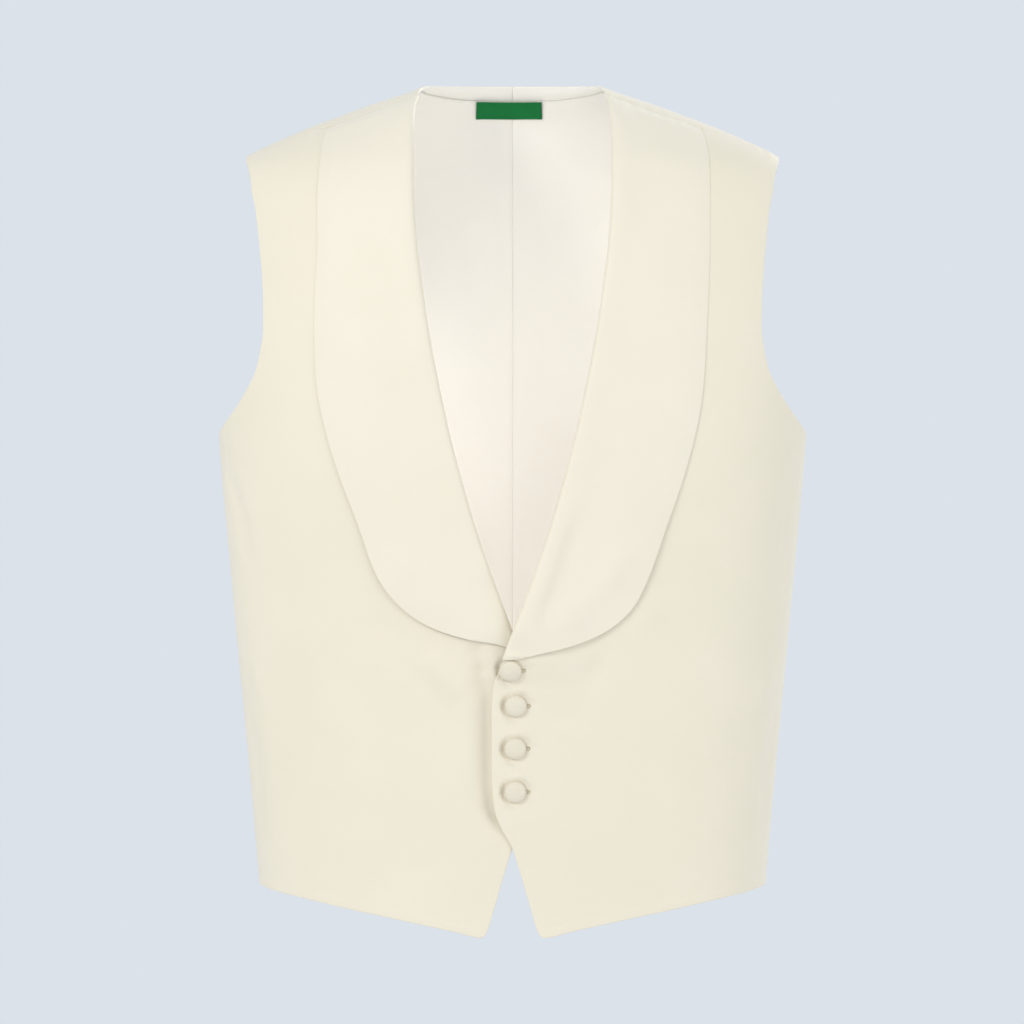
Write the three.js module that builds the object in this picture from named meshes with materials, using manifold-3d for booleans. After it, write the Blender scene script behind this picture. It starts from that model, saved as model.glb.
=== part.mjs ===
// Silk evening waistcoat with a shawl collar, filled out as it is worn, in millimetres.
// The origin lies between the two side neck points, +Z is up and the fronts face -Y.
import * as THREE from 'three';
import { mergeVertices } from 'three/addons/utils/BufferGeometryUtils.js';
import Module from 'manifold-3d';

const wasm = await Module();
wasm.setup();

// Cloth thicknesses and the gaps between layers
const shellWall = 1.6;
const liningWall = 1.0;
const lapelWall = 1.5;
const labelWall = 0.8;
const seamGap = 0.3;
const layerGap = 0.45;
const liningGap = 0.8;
const lapelGap = 0.95;
const labelGap = 1.3;

// Neck, shoulders and sides
const neckCentreZ = 6;
const neckSideZ = 1.4;
const seamNeckX = 66.5;
const seamEndX = 187;
const underarmZ = -244.5;
const sideHemZ = -559.5;
const backHemCentreZ = -528;

// Front edges, overlap and lapels
const edgeInset = 3.2;
const breakZ = -398;
const overlapHalf = 17;
const overlapFade = 60;
const crossingLift = 4.6;
const overlapTopZ = -370;
const standOffTopZ = -250;
const lapelRiseRight = 7;
const rollBulge = 2.0;
const rollReach = 10;
const facingReach = 14;

// Back lining and neck label
const neckStrip = 7;
const hemStrip = 12;
const armholeStrip = 3;
const labelX = -2.5;
const labelZ = -11.2;
const labelWidth = 47;
const labelHeight = 11;

// Covered buttons and their buttonholes
const buttonRadius = 7.3;
const buttonHeight = 4.6;
const rimReach = 6;
const shankRadius = 1.5;
const slotClearance = 0.4;
const slotReach = 9.5;
const eyeletRadius = 0.9;

// The general figure: half width, depth in front and behind, and roundness at each height
const figureSections = [
  { z: 12, half: 52, front: 40, back: 57, round: 1.95 },
  { z: 6, half: 58.5, front: 46, back: 64, round: 1.85 },
  { z: 1.4, half: 62, front: 49, back: 68, round: 1.75 },
  { z: -2.8, half: 72.3, front: 51, back: 72, round: 1.66 },
  { z: -11.3, half: 98, front: 56, back: 78, round: 1.6 },
  { z: -19.7, half: 121, front: 62, back: 84, round: 1.57 },
  { z: -28, half: 143, front: 67, back: 88, round: 1.57 },
  { z: -36.7, half: 163, front: 72, back: 92, round: 1.6 },
  { z: -45, half: 181, front: 76, back: 96, round: 1.66 },
  { z: -49.4, half: 188.5, front: 78.5, back: 98, round: 1.7 },
  { z: -56, half: 197, front: 82, back: 100, round: 1.77 },
  { z: -66, half: 204, front: 86, back: 103, round: 1.86 },
  { z: -80, half: 208.5, front: 91, back: 106, round: 1.96 },
  { z: -107, half: 211, front: 98, back: 110, round: 2.1 },
  { z: -130, half: 211.8, front: 102, back: 112, round: 2.2 },
  { z: -152, half: 212, front: 105, back: 113, round: 2.27 },
  { z: -197, half: 210.5, front: 110, back: 112, round: 2.33 },
  { z: -242, half: 207, front: 112.5, back: 109, round: 2.35 },
  { z: -276, half: 204.5, front: 113, back: 105.5, round: 2.35 },
  { z: -344, half: 198.1, front: 111, back: 99, round: 2.35 },
  { z: -412, half: 191.8, front: 108, back: 94, round: 2.35 },
  { z: -479, half: 185.4, front: 105, back: 93, round: 2.33 },
  { z: -547, half: 179.4, front: 103, back: 96, round: 2.3 },
  { z: -610, half: 174, front: 102, back: 99, round: 2.3 },
].reverse();

// The shoulder seam: how far it lies in front of the shoulder's ridge
const shoulderSeam = [
  { x: 66.5, forward: 26 },
  { x: 100, forward: 25 },
  { x: 133, forward: 20 },
  { x: 160, forward: 14 },
  { x: 187, forward: 8 },
];

// The armhole in side view: how far its edge lies from the side line, before and behind it
const armhole = [
  { z: -50.1, before: 8, behind: 8 },
  { z: -55, before: 20, behind: 22 },
  { z: -64, before: 32.5, behind: 36 },
  { z: -75.7, before: 41.3, behind: 45.5 },
  { z: -87, before: 48, behind: 52.5 },
  { z: -110, before: 57, behind: 62 },
  { z: -132, before: 63.5, behind: 67.5 },
  { z: -155, before: 68, behind: 71 },
  { z: -177, before: 70, behind: 72 },
  { z: -199, before: 68, behind: 69 },
  { z: -210, before: 64, behind: 64 },
  { z: -221, before: 57, behind: 57 },
  { z: -232, before: 45, behind: 45 },
  { z: -239.5, before: 30, behind: 30 },
  { z: -243.5, before: 14, behind: 14 },
  { z: underarmZ, before: seamGap / 2, behind: seamGap / 2 },
];

// The front edge from the shoulder seam down the roll line, the lap edge and the cutaway
const frontEdge = [
  { x: 69, z: -26 },
  { x: 68.6, z: -78 },
  { x: 66.4, z: -112 },
  { x: 59.4, z: -162 },
  { x: 51, z: -211 },
  { x: 39.8, z: -260.7 },
  { x: 25.7, z: -310 },
  { x: 8.6, z: -359 },
  { x: -5.8, z: -397.7 },
  { x: -9.6, z: -409 },
  { x: -13.2, z: -418.5 },
  { x: -14.3, z: -440 },
  { x: -14.3, z: -476 },
  { x: -12.7, z: -501 },
  { x: -7.9, z: -516 },
  { x: -0.5, z: -529 },
  { x: 5, z: -546 },
  { x: 10.7, z: -565.5 },
  { x: 17, z: -586.5 },
  { x: 19.3, z: -590.8 },
];

// The front hem from the rounded tip to the side seam
const frontHem = [
  { x: 23, z: -592 },
  { x: 30, z: -590.4 },
  { x: 41, z: -587.6 },
  { x: 66, z: -582.4 },
  { x: 91, z: -577.3 },
  { x: 116.5, z: -572.4 },
  { x: 140, z: -567.7 },
  { x: 163.7, z: -563.4 },
  { x: 173, z: -561.5 },
];

// The lapel: where it rolls over the front edge, and its outer edge, station by station
const lapelStations = [
  { rollX: 66.5, rollZ: -8, edgeX: 133, edgeZ: -31 },
  { rollX: 69, rollZ: -26, edgeX: 138, edgeZ: -52 },
  { rollX: 68.8, rollZ: -52, edgeX: 138.2, edgeZ: -77 },
  { rollX: 68.6, rollZ: -78, edgeX: 137.9, edgeZ: -111 },
  { rollX: 66.4, rollZ: -112, edgeX: 136.6, edgeZ: -144.5 },
  { rollX: 62.2, rollZ: -145, edgeX: 135, edgeZ: -178 },
  { rollX: 57.3, rollZ: -178, edgeX: 133, edgeZ: -211 },
  { rollX: 51, rollZ: -211, edgeX: 127, edgeZ: -244 },
  { rollX: 43.9, rollZ: -244, edgeX: 117.5, edgeZ: -277 },
  { rollX: 35.3, rollZ: -277, edgeX: 105, edgeZ: -310 },
  { rollX: 27, rollZ: -306, edgeX: 99, edgeZ: -328 },
  { rollX: 20.2, rollZ: -326.4, edgeX: 91.5, edgeZ: -348 },
  { rollX: 13.5, rollZ: -346, edgeX: 83, edgeZ: -364.5 },
  { rollX: 8, rollZ: -361, edgeX: 70, edgeZ: -377 },
  { rollX: 3, rollZ: -374, edgeX: 55.4, edgeZ: -385.5 },
  { rollX: -0.8, rollZ: -384, edgeX: 38, edgeZ: -391.5 },
  { rollX: -3.4, rollZ: -391, edgeX: 20, edgeZ: -395.5 },
  { rollX: -5.6, rollZ: -396.5, edgeX: 5, edgeZ: -398.5 },
];

// The largest folds: a soft trough or ridge from one point to the next, height outwards
const foldsRight = [
  { x1: 27, z1: -401, x2: 21, z2: -418, height: -1.6, width: 6 },
  { x1: 21, z1: -414, x2: 19.5, z2: -488, height: -2.6, width: 6 },
  { x1: 19.5, z1: -488, x2: 4, z2: -524, height: -2, width: 6 },
  { x1: 54, z1: -398, x2: 27, z2: -424, height: 1.2, width: 10 },
];
const foldsLeft = [
  { x1: 62, z1: -400, x2: 34, z2: -452, height: -1.2, width: 12 },
];

const buttonPlaces = [
  { x: -1, z: -407.5 },
  { x: 2.4, z: -432 },
  { x: 2.1, z: -461.3 },
  { x: 2.1, z: -491.1 },
];

// How finely each piece is divided
const frontCuts = { across: 17, armhole: 15, side: 23 };
const backCuts = { neck: 6, shoulder: 7, armhole: 13, side: 10 };
const shoulderCrowding = 1.7;
const frontSlant = 0.12;
const backSlant = 0.26;
const lapelCuts = { facing: 1, arc: 5, leaf: 8, down: 32 };

const lerp = (a, b, t) => a + (b - a) * t;
const clamp = (value, low, high) => Math.min(high, Math.max(low, value));
const quarter = Math.PI / 2;

function smoothStep(low, high, value) {
  const t = clamp((value - low) / (high - low), 0, 1);
  return t * t * (3 - 2 * t);
}

// A smooth curve through one column of a table that never swings past its rows
function column(rows, atKey, key, at) {
  const last = rows.length - 1;
  let i = 0;
  while (i < last - 1 && at > rows[i + 1][atKey]) i += 1;
  const step = (k) => rows[k + 1][atKey] - rows[k][atKey];
  const rise = (k) => (rows[k + 1][key] - rows[k][key]) / step(k);
  const slope = (k) => {
    if (k === 0) return rise(0);
    if (k === last) return rise(last - 1);
    const before = rise(k - 1);
    const after = rise(k);
    if (before * after <= 0) return 0;
    const w1 = 2 * step(k) + step(k - 1);
    const w2 = step(k) + 2 * step(k - 1);
    return (w1 + w2) / (w1 / before + w2 / after);
  };
  const t = clamp((at - rows[i][atKey]) / step(i), 0, 1);
  const near = (1 + 2 * t) * (1 - t) ** 2 * rows[i][key] + t * (1 - t) ** 2 * step(i) * slope(i);
  const far = t * t * (3 - 2 * t) * rows[i + 1][key] + t * t * (t - 1) * step(i) * slope(i + 1);
  return near + far;
}

// The figure's section at a height
function section(z) {
  const read = (key) => column(figureSections, 'z', key, z);
  return { half: read('half'), front: read('front'), back: read('back'), round: read('round') };
}

// The figure's outward slope and level at a point: the level is 0 on its surface
function figureLevel(point) {
  const nearby = 0.5;
  const s = section(point.z);
  const key = point.y < 0 ? 'front' : 'back';
  const x = Math.abs(point.x);
  const y = Math.abs(point.y);
  const sumAt = (at) => (x / at.half) ** at.round + (y / at[key]) ** at.round;
  const sum = sumAt(s);
  const rise = sumAt(section(point.z + nearby)) - sumAt(section(point.z - nearby));
  const slope = new THREE.Vector3(
    (s.round / s.half) * (x / s.half) ** (s.round - 1) * Math.sign(point.x),
    (s.round / s[key]) * (y / s[key]) ** (s.round - 1) * Math.sign(point.y),
    rise / (2 * nearby),
  );
  slope.multiplyScalar(sum ** (1 / s.round - 1) / s.round);
  return { level: sum ** (1 / s.round) - 1, slope };
}

function figureNormal(point) {
  return figureLevel(point).slope.normalize();
}

// The point of the figure's surface nearest to a point beside it
function settled(point) {
  const moved = point.clone();
  for (let i = 0; i < 10; i += 1) {
    const { level, slope } = figureLevel(moved);
    moved.addScaledVector(slope, -level / slope.lengthSq());
  }
  return moved;
}

// The point of the figure at a distance from the centre line, side -1 in front and 1 behind
function pointAt(x, z, side) {
  const s = section(z);
  const depth = side < 0 ? s.front : s.back;
  const ratio = clamp(Math.abs(x) / s.half, 0, 1);
  return new THREE.Vector3(x, side * depth * (1 - ratio ** s.round) ** (1 / s.round), z);
}

// The point of the figure at a distance from the side line or the shoulder's ridge
function pointAway(away, z, side) {
  const s = section(z);
  const depth = side < 0 ? s.front : s.back;
  const x = s.half * (1 - clamp(away / depth, 0, 1) ** s.round) ** (1 / s.round);
  return new THREE.Vector3(x, side * away, z);
}

// The point on the shoulder at a distance from the centre line and in front of the ridge
function shoulderPoint(x, forward) {
  let low = -70;
  let high = 8;
  for (let i = 0; i < 50; i += 1) {
    const z = (low + high) / 2;
    if (figureLevel(new THREE.Vector3(x, -forward, z)).level > 0) high = z;
    else low = z;
  }
  return pointAway(forward, (low + high) / 2, -1);
}

// A curve through points, read by a fraction of its length from 0 to 1
class Curve {
  constructor(points) {
    this.points = points;
    this.lengths = [0];
    for (let i = 1; i < points.length; i += 1) {
      this.lengths.push(this.lengths[i - 1] + points[i].distanceTo(points[i - 1]));
    }
  }

  get length() {
    return this.lengths[this.lengths.length - 1];
  }

  // The fraction at which the curve passes its point number i
  share(i) {
    return this.lengths[i] / this.length;
  }

  at(fraction) {
    const goal = clamp(fraction, 0, 1) * this.length;
    let i = 1;
    while (i < this.points.length - 1 && this.lengths[i] < goal) i += 1;
    const t = (goal - this.lengths[i - 1]) / (this.lengths[i] - this.lengths[i - 1]);
    return this.points[i - 1].clone().lerp(this.points[i], t);
  }
}

function range(count, make) {
  return Array.from({ length: count + 1 }, (_, i) => make(i / count));
}

// Rows of a table as a smooth list of points, with a few points for each row
function throughRows(rows, keys, make) {
  const perRow = 4;
  const numbered = rows.map((row, i) => ({ ...row, number: i }));
  return range((rows.length - 1) * perRow, (t) => {
    const at = t * (rows.length - 1);
    return make(...keys.map((key) => column(numbered, 'number', key, at)));
  });
}

// A panel is spread between four boundary curves and settled on the figure. Its rows slant
// down towards the inner edge, so that they meet the foot of the armhole at an angle.
class Panel {
  constructor(top, bottom, inner, outer, slant) {
    Object.assign(this, { top, bottom, inner, outer, slant });
  }

  point(u, v) {
    const down = this.top.at(u).lerp(this.bottom.at(u), v);
    const slanted = v + this.slant * Math.sin(Math.PI * v);
    const across = this.inner.at(slanted).lerp(this.outer.at(v), u);
    const high = this.top.at(0).lerp(this.top.at(1), u);
    const low = this.bottom.at(0).lerp(this.bottom.at(1), u);
    return settled(down.add(across).sub(high.lerp(low, v)));
  }
}

const seamSteps = 24;
const neckSteps = 20;
const ridgeSteps = 6;
const sideSteps = 20;

function seamCurve(extraForward, startX = seamNeckX) {
  return new Curve(range(seamSteps, (t) => {
    const x = lerp(startX, seamEndX, t);
    return shoulderPoint(x, column(shoulderSeam, 'x', 'forward', x) + extraForward);
  }));
}

// The armhole's edge and then the side seam, key naming the armhole's column in its table
function armholeAndSide(side, key, start) {
  const edge = throughRows(armhole, [key, 'z'], (away, z) => pointAway(away, z, side));
  const seam = range(sideSteps, (t) => pointAway(seamGap / 2, lerp(underarmZ, sideHemZ, t), side));
  return new Curve([...start, ...edge.slice(1), ...seam.slice(1)]);
}

function frontPanel() {
  const top = seamCurve(seamGap / 2, seamNeckX + edgeInset);
  const neckRow = { x: seamNeckX, z: top.at(0).z };
  const edge = throughRows([neckRow, ...frontEdge], ['x', 'z'], (x, z) => {
    const inset = edgeInset * smoothStep(breakZ - 8, breakZ - 1, z);
    return pointAt(x + inset, z, -1);
  });
  edge[0] = top.at(0);
  const tip = edge[edge.length - 1];
  const outer = armholeAndSide(-1, 'before', [top.at(1)]);
  const hem = throughRows(frontHem, ['x', 'z'], (x, z) => pointAt(x, z, -1));
  return new Panel(top, new Curve([tip, ...hem, outer.at(1)]), new Curve(edge), outer, frontSlant);
}

function backPanel() {
  const seam = seamCurve(-seamGap / 2);
  const corner = seam.at(0);
  const neck = range(neckSteps, (t) => {
    const turn = quarter * (1 - t);
    const z = lerp(neckSideZ, neckCentreZ, Math.sin(turn));
    const s = section(z);
    return pointAway(s.back * Math.sin(turn) ** (2 / s.round), z, 1);
  });
  neck[0] = pointAt(seamGap / 2, neckCentreZ, 1);
  const side = neck[neckSteps];
  const overRidge = range(ridgeSteps, (t) => settled(side.clone().lerp(corner, t)));
  const top = new Curve([...neck, ...overRidge.slice(1), ...seam.points.slice(1)]);
  const overEnd = range(ridgeSteps, (t) => {
    return settled(seam.at(1).lerp(pointAway(armhole[0].behind, armhole[0].z, 1), t));
  });
  const outer = armholeAndSide(1, 'behind', overEnd);
  const centre = range(30, (t) => pointAt(seamGap / 2, lerp(neckCentreZ, backHemCentreZ, t), 1));
  const hem = range(24, (t) => {
    const z = lerp(backHemCentreZ, sideHemZ, t * t);
    return t < 1 ? pointAt(lerp(seamGap / 2, section(z).half, Math.sin(quarter * t)), z, 1) : outer.at(1);
  });
  return new Panel(top, new Curve(hem), new Curve(centre), outer, backSlant);
}

// How far a fold moves the cloth at a point, from its distance to the fold's line
function foldHeight(folds, x, z) {
  return folds.reduce((sum, fold) => {
    const along = new THREE.Vector2(fold.x2 - fold.x1, fold.z2 - fold.z1);
    const from = new THREE.Vector2(x - fold.x1, z - fold.z1);
    const t = clamp(from.dot(along) / along.lengthSq(), 0, 1);
    const distance = from.distanceTo(along.multiplyScalar(t));
    return sum + fold.height * Math.exp(-((distance / fold.width) ** 2));
  }, 0);
}

// How far a front's outer face stands off the figure. hand is 1 for the left front, which
// laps over the right one, and x is measured from the centre towards the front's own side.
function frontLift(hand, point) {
  if (hand < 0) return foldHeight(foldsRight, point.x, point.z);
  const over = 1 - smoothStep(overlapHalf, overlapFade, point.x);
  const crossing = crossingLift * smoothStep(breakZ - 23, breakZ, point.z);
  const settled = 1 - smoothStep(overlapTopZ, standOffTopZ, point.z);
  const lap = (shellWall + layerGap + crossing) * over * settled;
  return lap + foldHeight(foldsLeft, point.x, point.z);
}

// A point of the figure, moved out from it
function lifted(point, height) {
  return point.clone().addScaledVector(figureNormal(point), height(point));
}

// A closed wall between two grids of points, each a list of rows
function wallGeometry(outer, inner) {
  const rows = outer.length;
  const columns = outer[0].length;
  const positions = [...outer.flat(), ...inner.flat()].flatMap((p) => [p.x, p.y, p.z]);
  const index = (layer, row, col) => (layer * rows + row) * columns + col;
  const faces = [];
  const quad = (a, b, c, d) => faces.push(a, b, c, a, c, d);
  for (let row = 0; row < rows - 1; row += 1) {
    for (let col = 0; col < columns - 1; col += 1) {
      const corners = (layer) => [
        index(layer, row, col),
        index(layer, row, col + 1),
        index(layer, row + 1, col + 1),
        index(layer, row + 1, col),
      ];
      const [a, b, c, d] = corners(1);
      quad(...corners(0));
      quad(a, d, c, b);
    }
  }
  for (let row = 0; row < rows - 1; row += 1) {
    const far = columns - 1;
    quad(index(0, row + 1, 0), index(1, row + 1, 0), index(1, row, 0), index(0, row, 0));
    quad(index(0, row, far), index(1, row, far), index(1, row + 1, far), index(0, row + 1, far));
  }
  for (let col = 0; col < columns - 1; col += 1) {
    const far = rows - 1;
    quad(index(0, 0, col), index(1, 0, col), index(1, 0, col + 1), index(0, 0, col + 1));
    quad(index(0, far, col + 1), index(1, far, col + 1), index(1, far, col), index(0, far, col));
  }
  return outwards(positions, faces);
}

// The enclosed volume tells whether the faces point out, and they are turned if they don't
function outwards(positions, faces) {
  const corner = (i) => new THREE.Vector3().fromArray(positions, 3 * i);
  let volume = 0;
  for (let i = 0; i < faces.length; i += 3) {
    const [a, b, c] = [corner(faces[i]), corner(faces[i + 1]), corner(faces[i + 2])];
    volume += a.dot(b.cross(c)) / 6;
  }
  const turned = volume < 0 ? [...faces].reverse() : faces;
  const geometry = new THREE.BufferGeometry();
  geometry.setAttribute('position', new THREE.Float32BufferAttribute(positions, 3));
  geometry.setIndex(turned);
  return geometry;
}

function mirrored(point, hand) {
  return new THREE.Vector3(point.x * hand, point.y, point.z);
}

// A wall over a grid of points: height gives its outer face, thickness goes inwards
function panelWall(points, hand, height, thickness) {
  const layer = (sink) => points.map((row) => row.map((point) => {
    return mirrored(lifted(point, (at) => height(at) - sink), hand);
  }));
  return wallGeometry(layer(0), layer(thickness));
}

// Rows and columns of a panel at the given fractions
function gridOf(panel, across, down) {
  return down.map((v) => across.map((u) => panel.point(u, v)));
}

// Row fractions, closer together over the shoulder, with one row at the underarm
function rowFractions(panel, armholeRows, sideRows) {
  const split = panel.outer.share(panel.outer.points.length - 1 - sideSteps);
  const upper = range(armholeRows, (t) => split * t ** shoulderCrowding);
  const lower = range(sideRows, (t) => lerp(split, 1, t));
  return [...upper, ...lower.slice(1)];
}

function frontGeometry(hand) {
  const panel = frontPanel();
  const across = range(frontCuts.across, (t) => lerp(t, t * t, 0.35));
  const down = rowFractions(panel, frontCuts.armhole, frontCuts.side);
  return panelWall(gridOf(panel, across, down), hand, (point) => frontLift(hand, point), shellWall);
}

function backFractions(panel) {
  const neckShare = panel.top.share(neckSteps + ridgeSteps);
  const neck = range(backCuts.neck, (t) => neckShare * t);
  const shoulder = range(backCuts.shoulder, (t) => lerp(neckShare, 1, t));
  const down = rowFractions(panel, backCuts.armhole, backCuts.side);
  return { across: [...neck, ...shoulder.slice(1)], down };
}

function backGeometry(hand) {
  const panel = backPanel();
  const { across, down } = backFractions(panel);
  return panelWall(gridOf(panel, across, down), hand, () => 0, shellWall);
}

// The lining has the back's own rows and columns inside its narrow border
function liningGeometry(hand) {
  const panel = backPanel();
  const { across, down } = backFractions(panel);
  const within = (fractions, from, to) => {
    const kept = fractions.filter((f) => f > from + 0.003 && f < to - 0.003);
    return [from, ...kept, to];
  };
  const length = panel.inner.length;
  const columns = within(across, 0, 1 - armholeStrip / panel.top.length);
  const rows = within(down, neckStrip / length, 1 - hemStrip / length);
  return panelWall(gridOf(panel, columns, rows), hand, () => -shellWall - liningGap, liningWall);
}

function labelGeometry() {
  const points = range(2, (down) => range(8, (across) => {
    const x = labelX + labelWidth * (across - 0.5);
    return pointAt(x, labelZ - labelHeight * (down - 0.5), 1);
  }));
  const sink = shellWall + liningGap + liningWall + labelGap;
  return panelWall(points, 1, () => -sink, labelWall);
}

// The lapel's section: how far in from the roll and how high over the front, with the
// facing first, then the roll round the front edge, then the leaf out to its edge
function lapelProfile(width, bulge) {
  const facingHeight = -(shellWall + lapelGap + lapelWall);
  const leaf = (reach, centre) => lapelGap + bulge * Math.exp(-(((reach - centre) / rollReach) ** 2));
  const radius = (lapelGap + bulge + lapelWall - facingHeight) / 2;
  const centreHeight = facingHeight + radius;
  const outer = [];
  const inner = [];
  for (const t of range(lapelCuts.facing, (f) => f).slice(0, -1)) {
    const reach = lerp(Math.min(facingReach, width * 0.8), radius, t);
    outer.push([reach, facingHeight]);
    inner.push([reach, facingHeight + lapelWall]);
  }
  for (const t of range(lapelCuts.arc, (f) => f)) {
    const angle = Math.PI * (0.5 + t);
    outer.push([radius + radius * Math.cos(angle), centreHeight - radius * Math.sin(angle)]);
    const small = radius - lapelWall;
    inner.push([radius + small * Math.cos(angle), centreHeight - small * Math.sin(angle)]);
  }
  for (const t of range(lapelCuts.leaf, (f) => f).slice(1)) {
    const reach = lerp(radius, width, lerp(t, t * t, 0.5));
    outer.push([reach, leaf(reach, radius) + lapelWall]);
    inner.push([reach, leaf(reach, radius)]);
  }
  return { outer, inner };
}

function lapelGeometry(hand) {
  const keys = ['rollX', 'rollZ', 'edgeX', 'edgeZ'];
  const numbered = lapelStations.map((row, i) => ({ ...row, number: i }));
  const last = lapelStations.length - 1;
  const outer = [];
  const inner = [];
  for (const t of range(lapelCuts.down, (f) => f)) {
    const [rollX, rollZ, edgeX, edgeZ] = keys.map((key) => column(numbered, 'number', key, t * last));
    const rise = hand < 0 ? lapelRiseRight * smoothStep(10, 12.3, t * last) : 0;
    const roll = pointAt(rollX, rollZ, -1);
    const edge = pointAt(edgeX, edgeZ + rise, -1);
    const width = roll.distanceTo(edge);
    const bulge = rollBulge * (1 - smoothStep(0.7, 0.95, t));
    const profile = lapelProfile(width, bulge);
    const row = (pairs) => pairs.map(([reach, height]) => {
      const point = settled(roll.clone().lerp(edge, reach / width));
      return mirrored(lifted(point, (at) => frontLift(hand, at) + height), hand);
    });
    outer.push(row(profile.outer));
    inner.push(row(profile.inner));
  }
  return wallGeometry(outer, inner);
}

// A group that stands on the left front at a button's place, with +Y outwards
function onFront({ x, z }) {
  const onFace = (dx, dz) => lifted(pointAt(x + dx, z + dz, -1), (at) => frontLift(1, at));
  const base = onFace(0, 0);
  const acrossIt = onFace(rimReach, 0).sub(onFace(-rimReach, 0));
  const upIt = onFace(0, rimReach).sub(onFace(0, -rimReach));
  const normal = acrossIt.cross(upIt).normalize();
  return { base, turn: new THREE.Quaternion().setFromUnitVectors(new THREE.Vector3(0, 1, 0), normal) };
}

function buttonGeometry() {
  const rim = buttonRadius - 0.9;
  const foot = -(shellWall + layerGap - seamGap);
  const dome = range(4, (t) => new THREE.Vector2(
    buttonRadius * Math.cos(quarter * t),
    1.3 + (buttonHeight - 1.3) * Math.sin(quarter * t),
  ));
  dome[dome.length - 1].x = 0;
  const profile = [
    new THREE.Vector2(0, foot),
    new THREE.Vector2(shankRadius, foot),
    new THREE.Vector2(shankRadius, layerGap),
    new THREE.Vector2(rim, layerGap),
    ...dome,
  ];
  return new THREE.LatheGeometry(profile, 16);
}

// The buttonhole: wide enough for the shank at one end, a small eyelet at the other
function slotGeometry() {
  const wide = shankRadius + slotClearance;
  const shape = new THREE.Shape();
  shape.absarc(0, 0, wide, quarter, 3 * quarter, false);
  shape.lineTo(slotReach * 0.6, -0.4);
  shape.absarc(slotReach, 0, eyeletRadius, -quarter * 1.4, quarter * 1.4, false);
  shape.lineTo(slotReach * 0.6, 0.4);
  shape.closePath();
  const depth = 5;
  const geometry = new THREE.ExtrudeGeometry(shape, { depth, bevelEnabled: false, curveSegments: 6 });
  geometry.translate(0, 0, -depth / 2 - shellWall / 2);
  geometry.rotateX(-quarter);
  return geometry;
}

function toSolid(geometry) {
  const bare = geometry.clone();
  bare.deleteAttribute('normal');
  bare.deleteAttribute('uv');
  const merged = mergeVertices(bare, 1e-4);
  return new wasm.Manifold(new wasm.Mesh({
    numProp: 3,
    vertProperties: new Float32Array(merged.attributes.position.array),
    triVerts: new Uint32Array(merged.index.array),
  }));
}

function fromSolid(solid) {
  const mesh = solid.getMesh();
  const geometry = new THREE.BufferGeometry();
  geometry.setAttribute('position', new THREE.BufferAttribute(mesh.vertProperties, 3));
  geometry.setIndex(new THREE.BufferAttribute(mesh.triVerts, 1));
  return geometry;
}

function cutButtonholes(geometry) {
  let solid = toSolid(geometry);
  for (const place of buttonPlaces) {
    const { base, turn } = onFront(place);
    const slot = slotGeometry();
    slot.applyMatrix4(new THREE.Matrix4().compose(base, turn, new THREE.Vector3(1, 1, 1)));
    solid = solid.subtract(toSolid(slot));
  }
  return fromSolid(solid);
}

// Finishes
const silk = new THREE.MeshStandardMaterial({ color: 0xf3eddf, roughness: 0.55, metalness: 0 });
const lapelSilk = new THREE.MeshStandardMaterial({ color: 0xf5f0e3, roughness: 0.5, metalness: 0 });
const liningCloth = new THREE.MeshStandardMaterial({ color: 0xf2eee5, roughness: 0.6, metalness: 0 });
const buttonSilk = new THREE.MeshStandardMaterial({ color: 0xe8e4d8, roughness: 0.5, metalness: 0 });
const labelWeave = new THREE.MeshStandardMaterial({ color: 0x247d44, roughness: 0.8, metalness: 0 });

function piece(name, geometry, material) {
  const mesh = new THREE.Mesh(geometry, material);
  mesh.name = name;
  return mesh;
}

const group = new THREE.Group();
group.add(
  piece('front_right', frontGeometry(-1), silk),
  piece('front_left', cutButtonholes(frontGeometry(1)), silk),
  piece('back_right', backGeometry(-1), silk),
  piece('back_left', backGeometry(1), silk),
  piece('back_lining_right', liningGeometry(-1), liningCloth),
  piece('back_lining_left', liningGeometry(1), liningCloth),
  piece('lapel_right', lapelGeometry(-1), lapelSilk),
  piece('lapel_left', lapelGeometry(1), lapelSilk),
  piece('neck_label', labelGeometry(), labelWeave),
);

buttonPlaces.forEach((place, i) => {
  const button = piece(`button_${i + 1}`, buttonGeometry(), buttonSilk);
  const { base, turn } = onFront(place);
  button.position.copy(base);
  button.quaternion.copy(turn);
  group.add(button);
});

export default group;
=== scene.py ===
"""Silk evening waistcoat with a shawl collar, filled out as it is worn.

Shapes are worked out in millimetres in the part's own frame: the origin lies between
the side neck points, +Z is up, the fronts face -Y and +X is the wearer's left. Meshes
are in metres. The cloth lies on a general figure, a row of level sections, and each
piece is a thin closed shell over a grid of points settled on that figure.
"""

import logging
import math
from collections.abc import Callable, Sequence
from dataclasses import dataclass, field
from enum import Enum

import bpy
import numpy as np
from mathutils import Matrix, Vector


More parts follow.
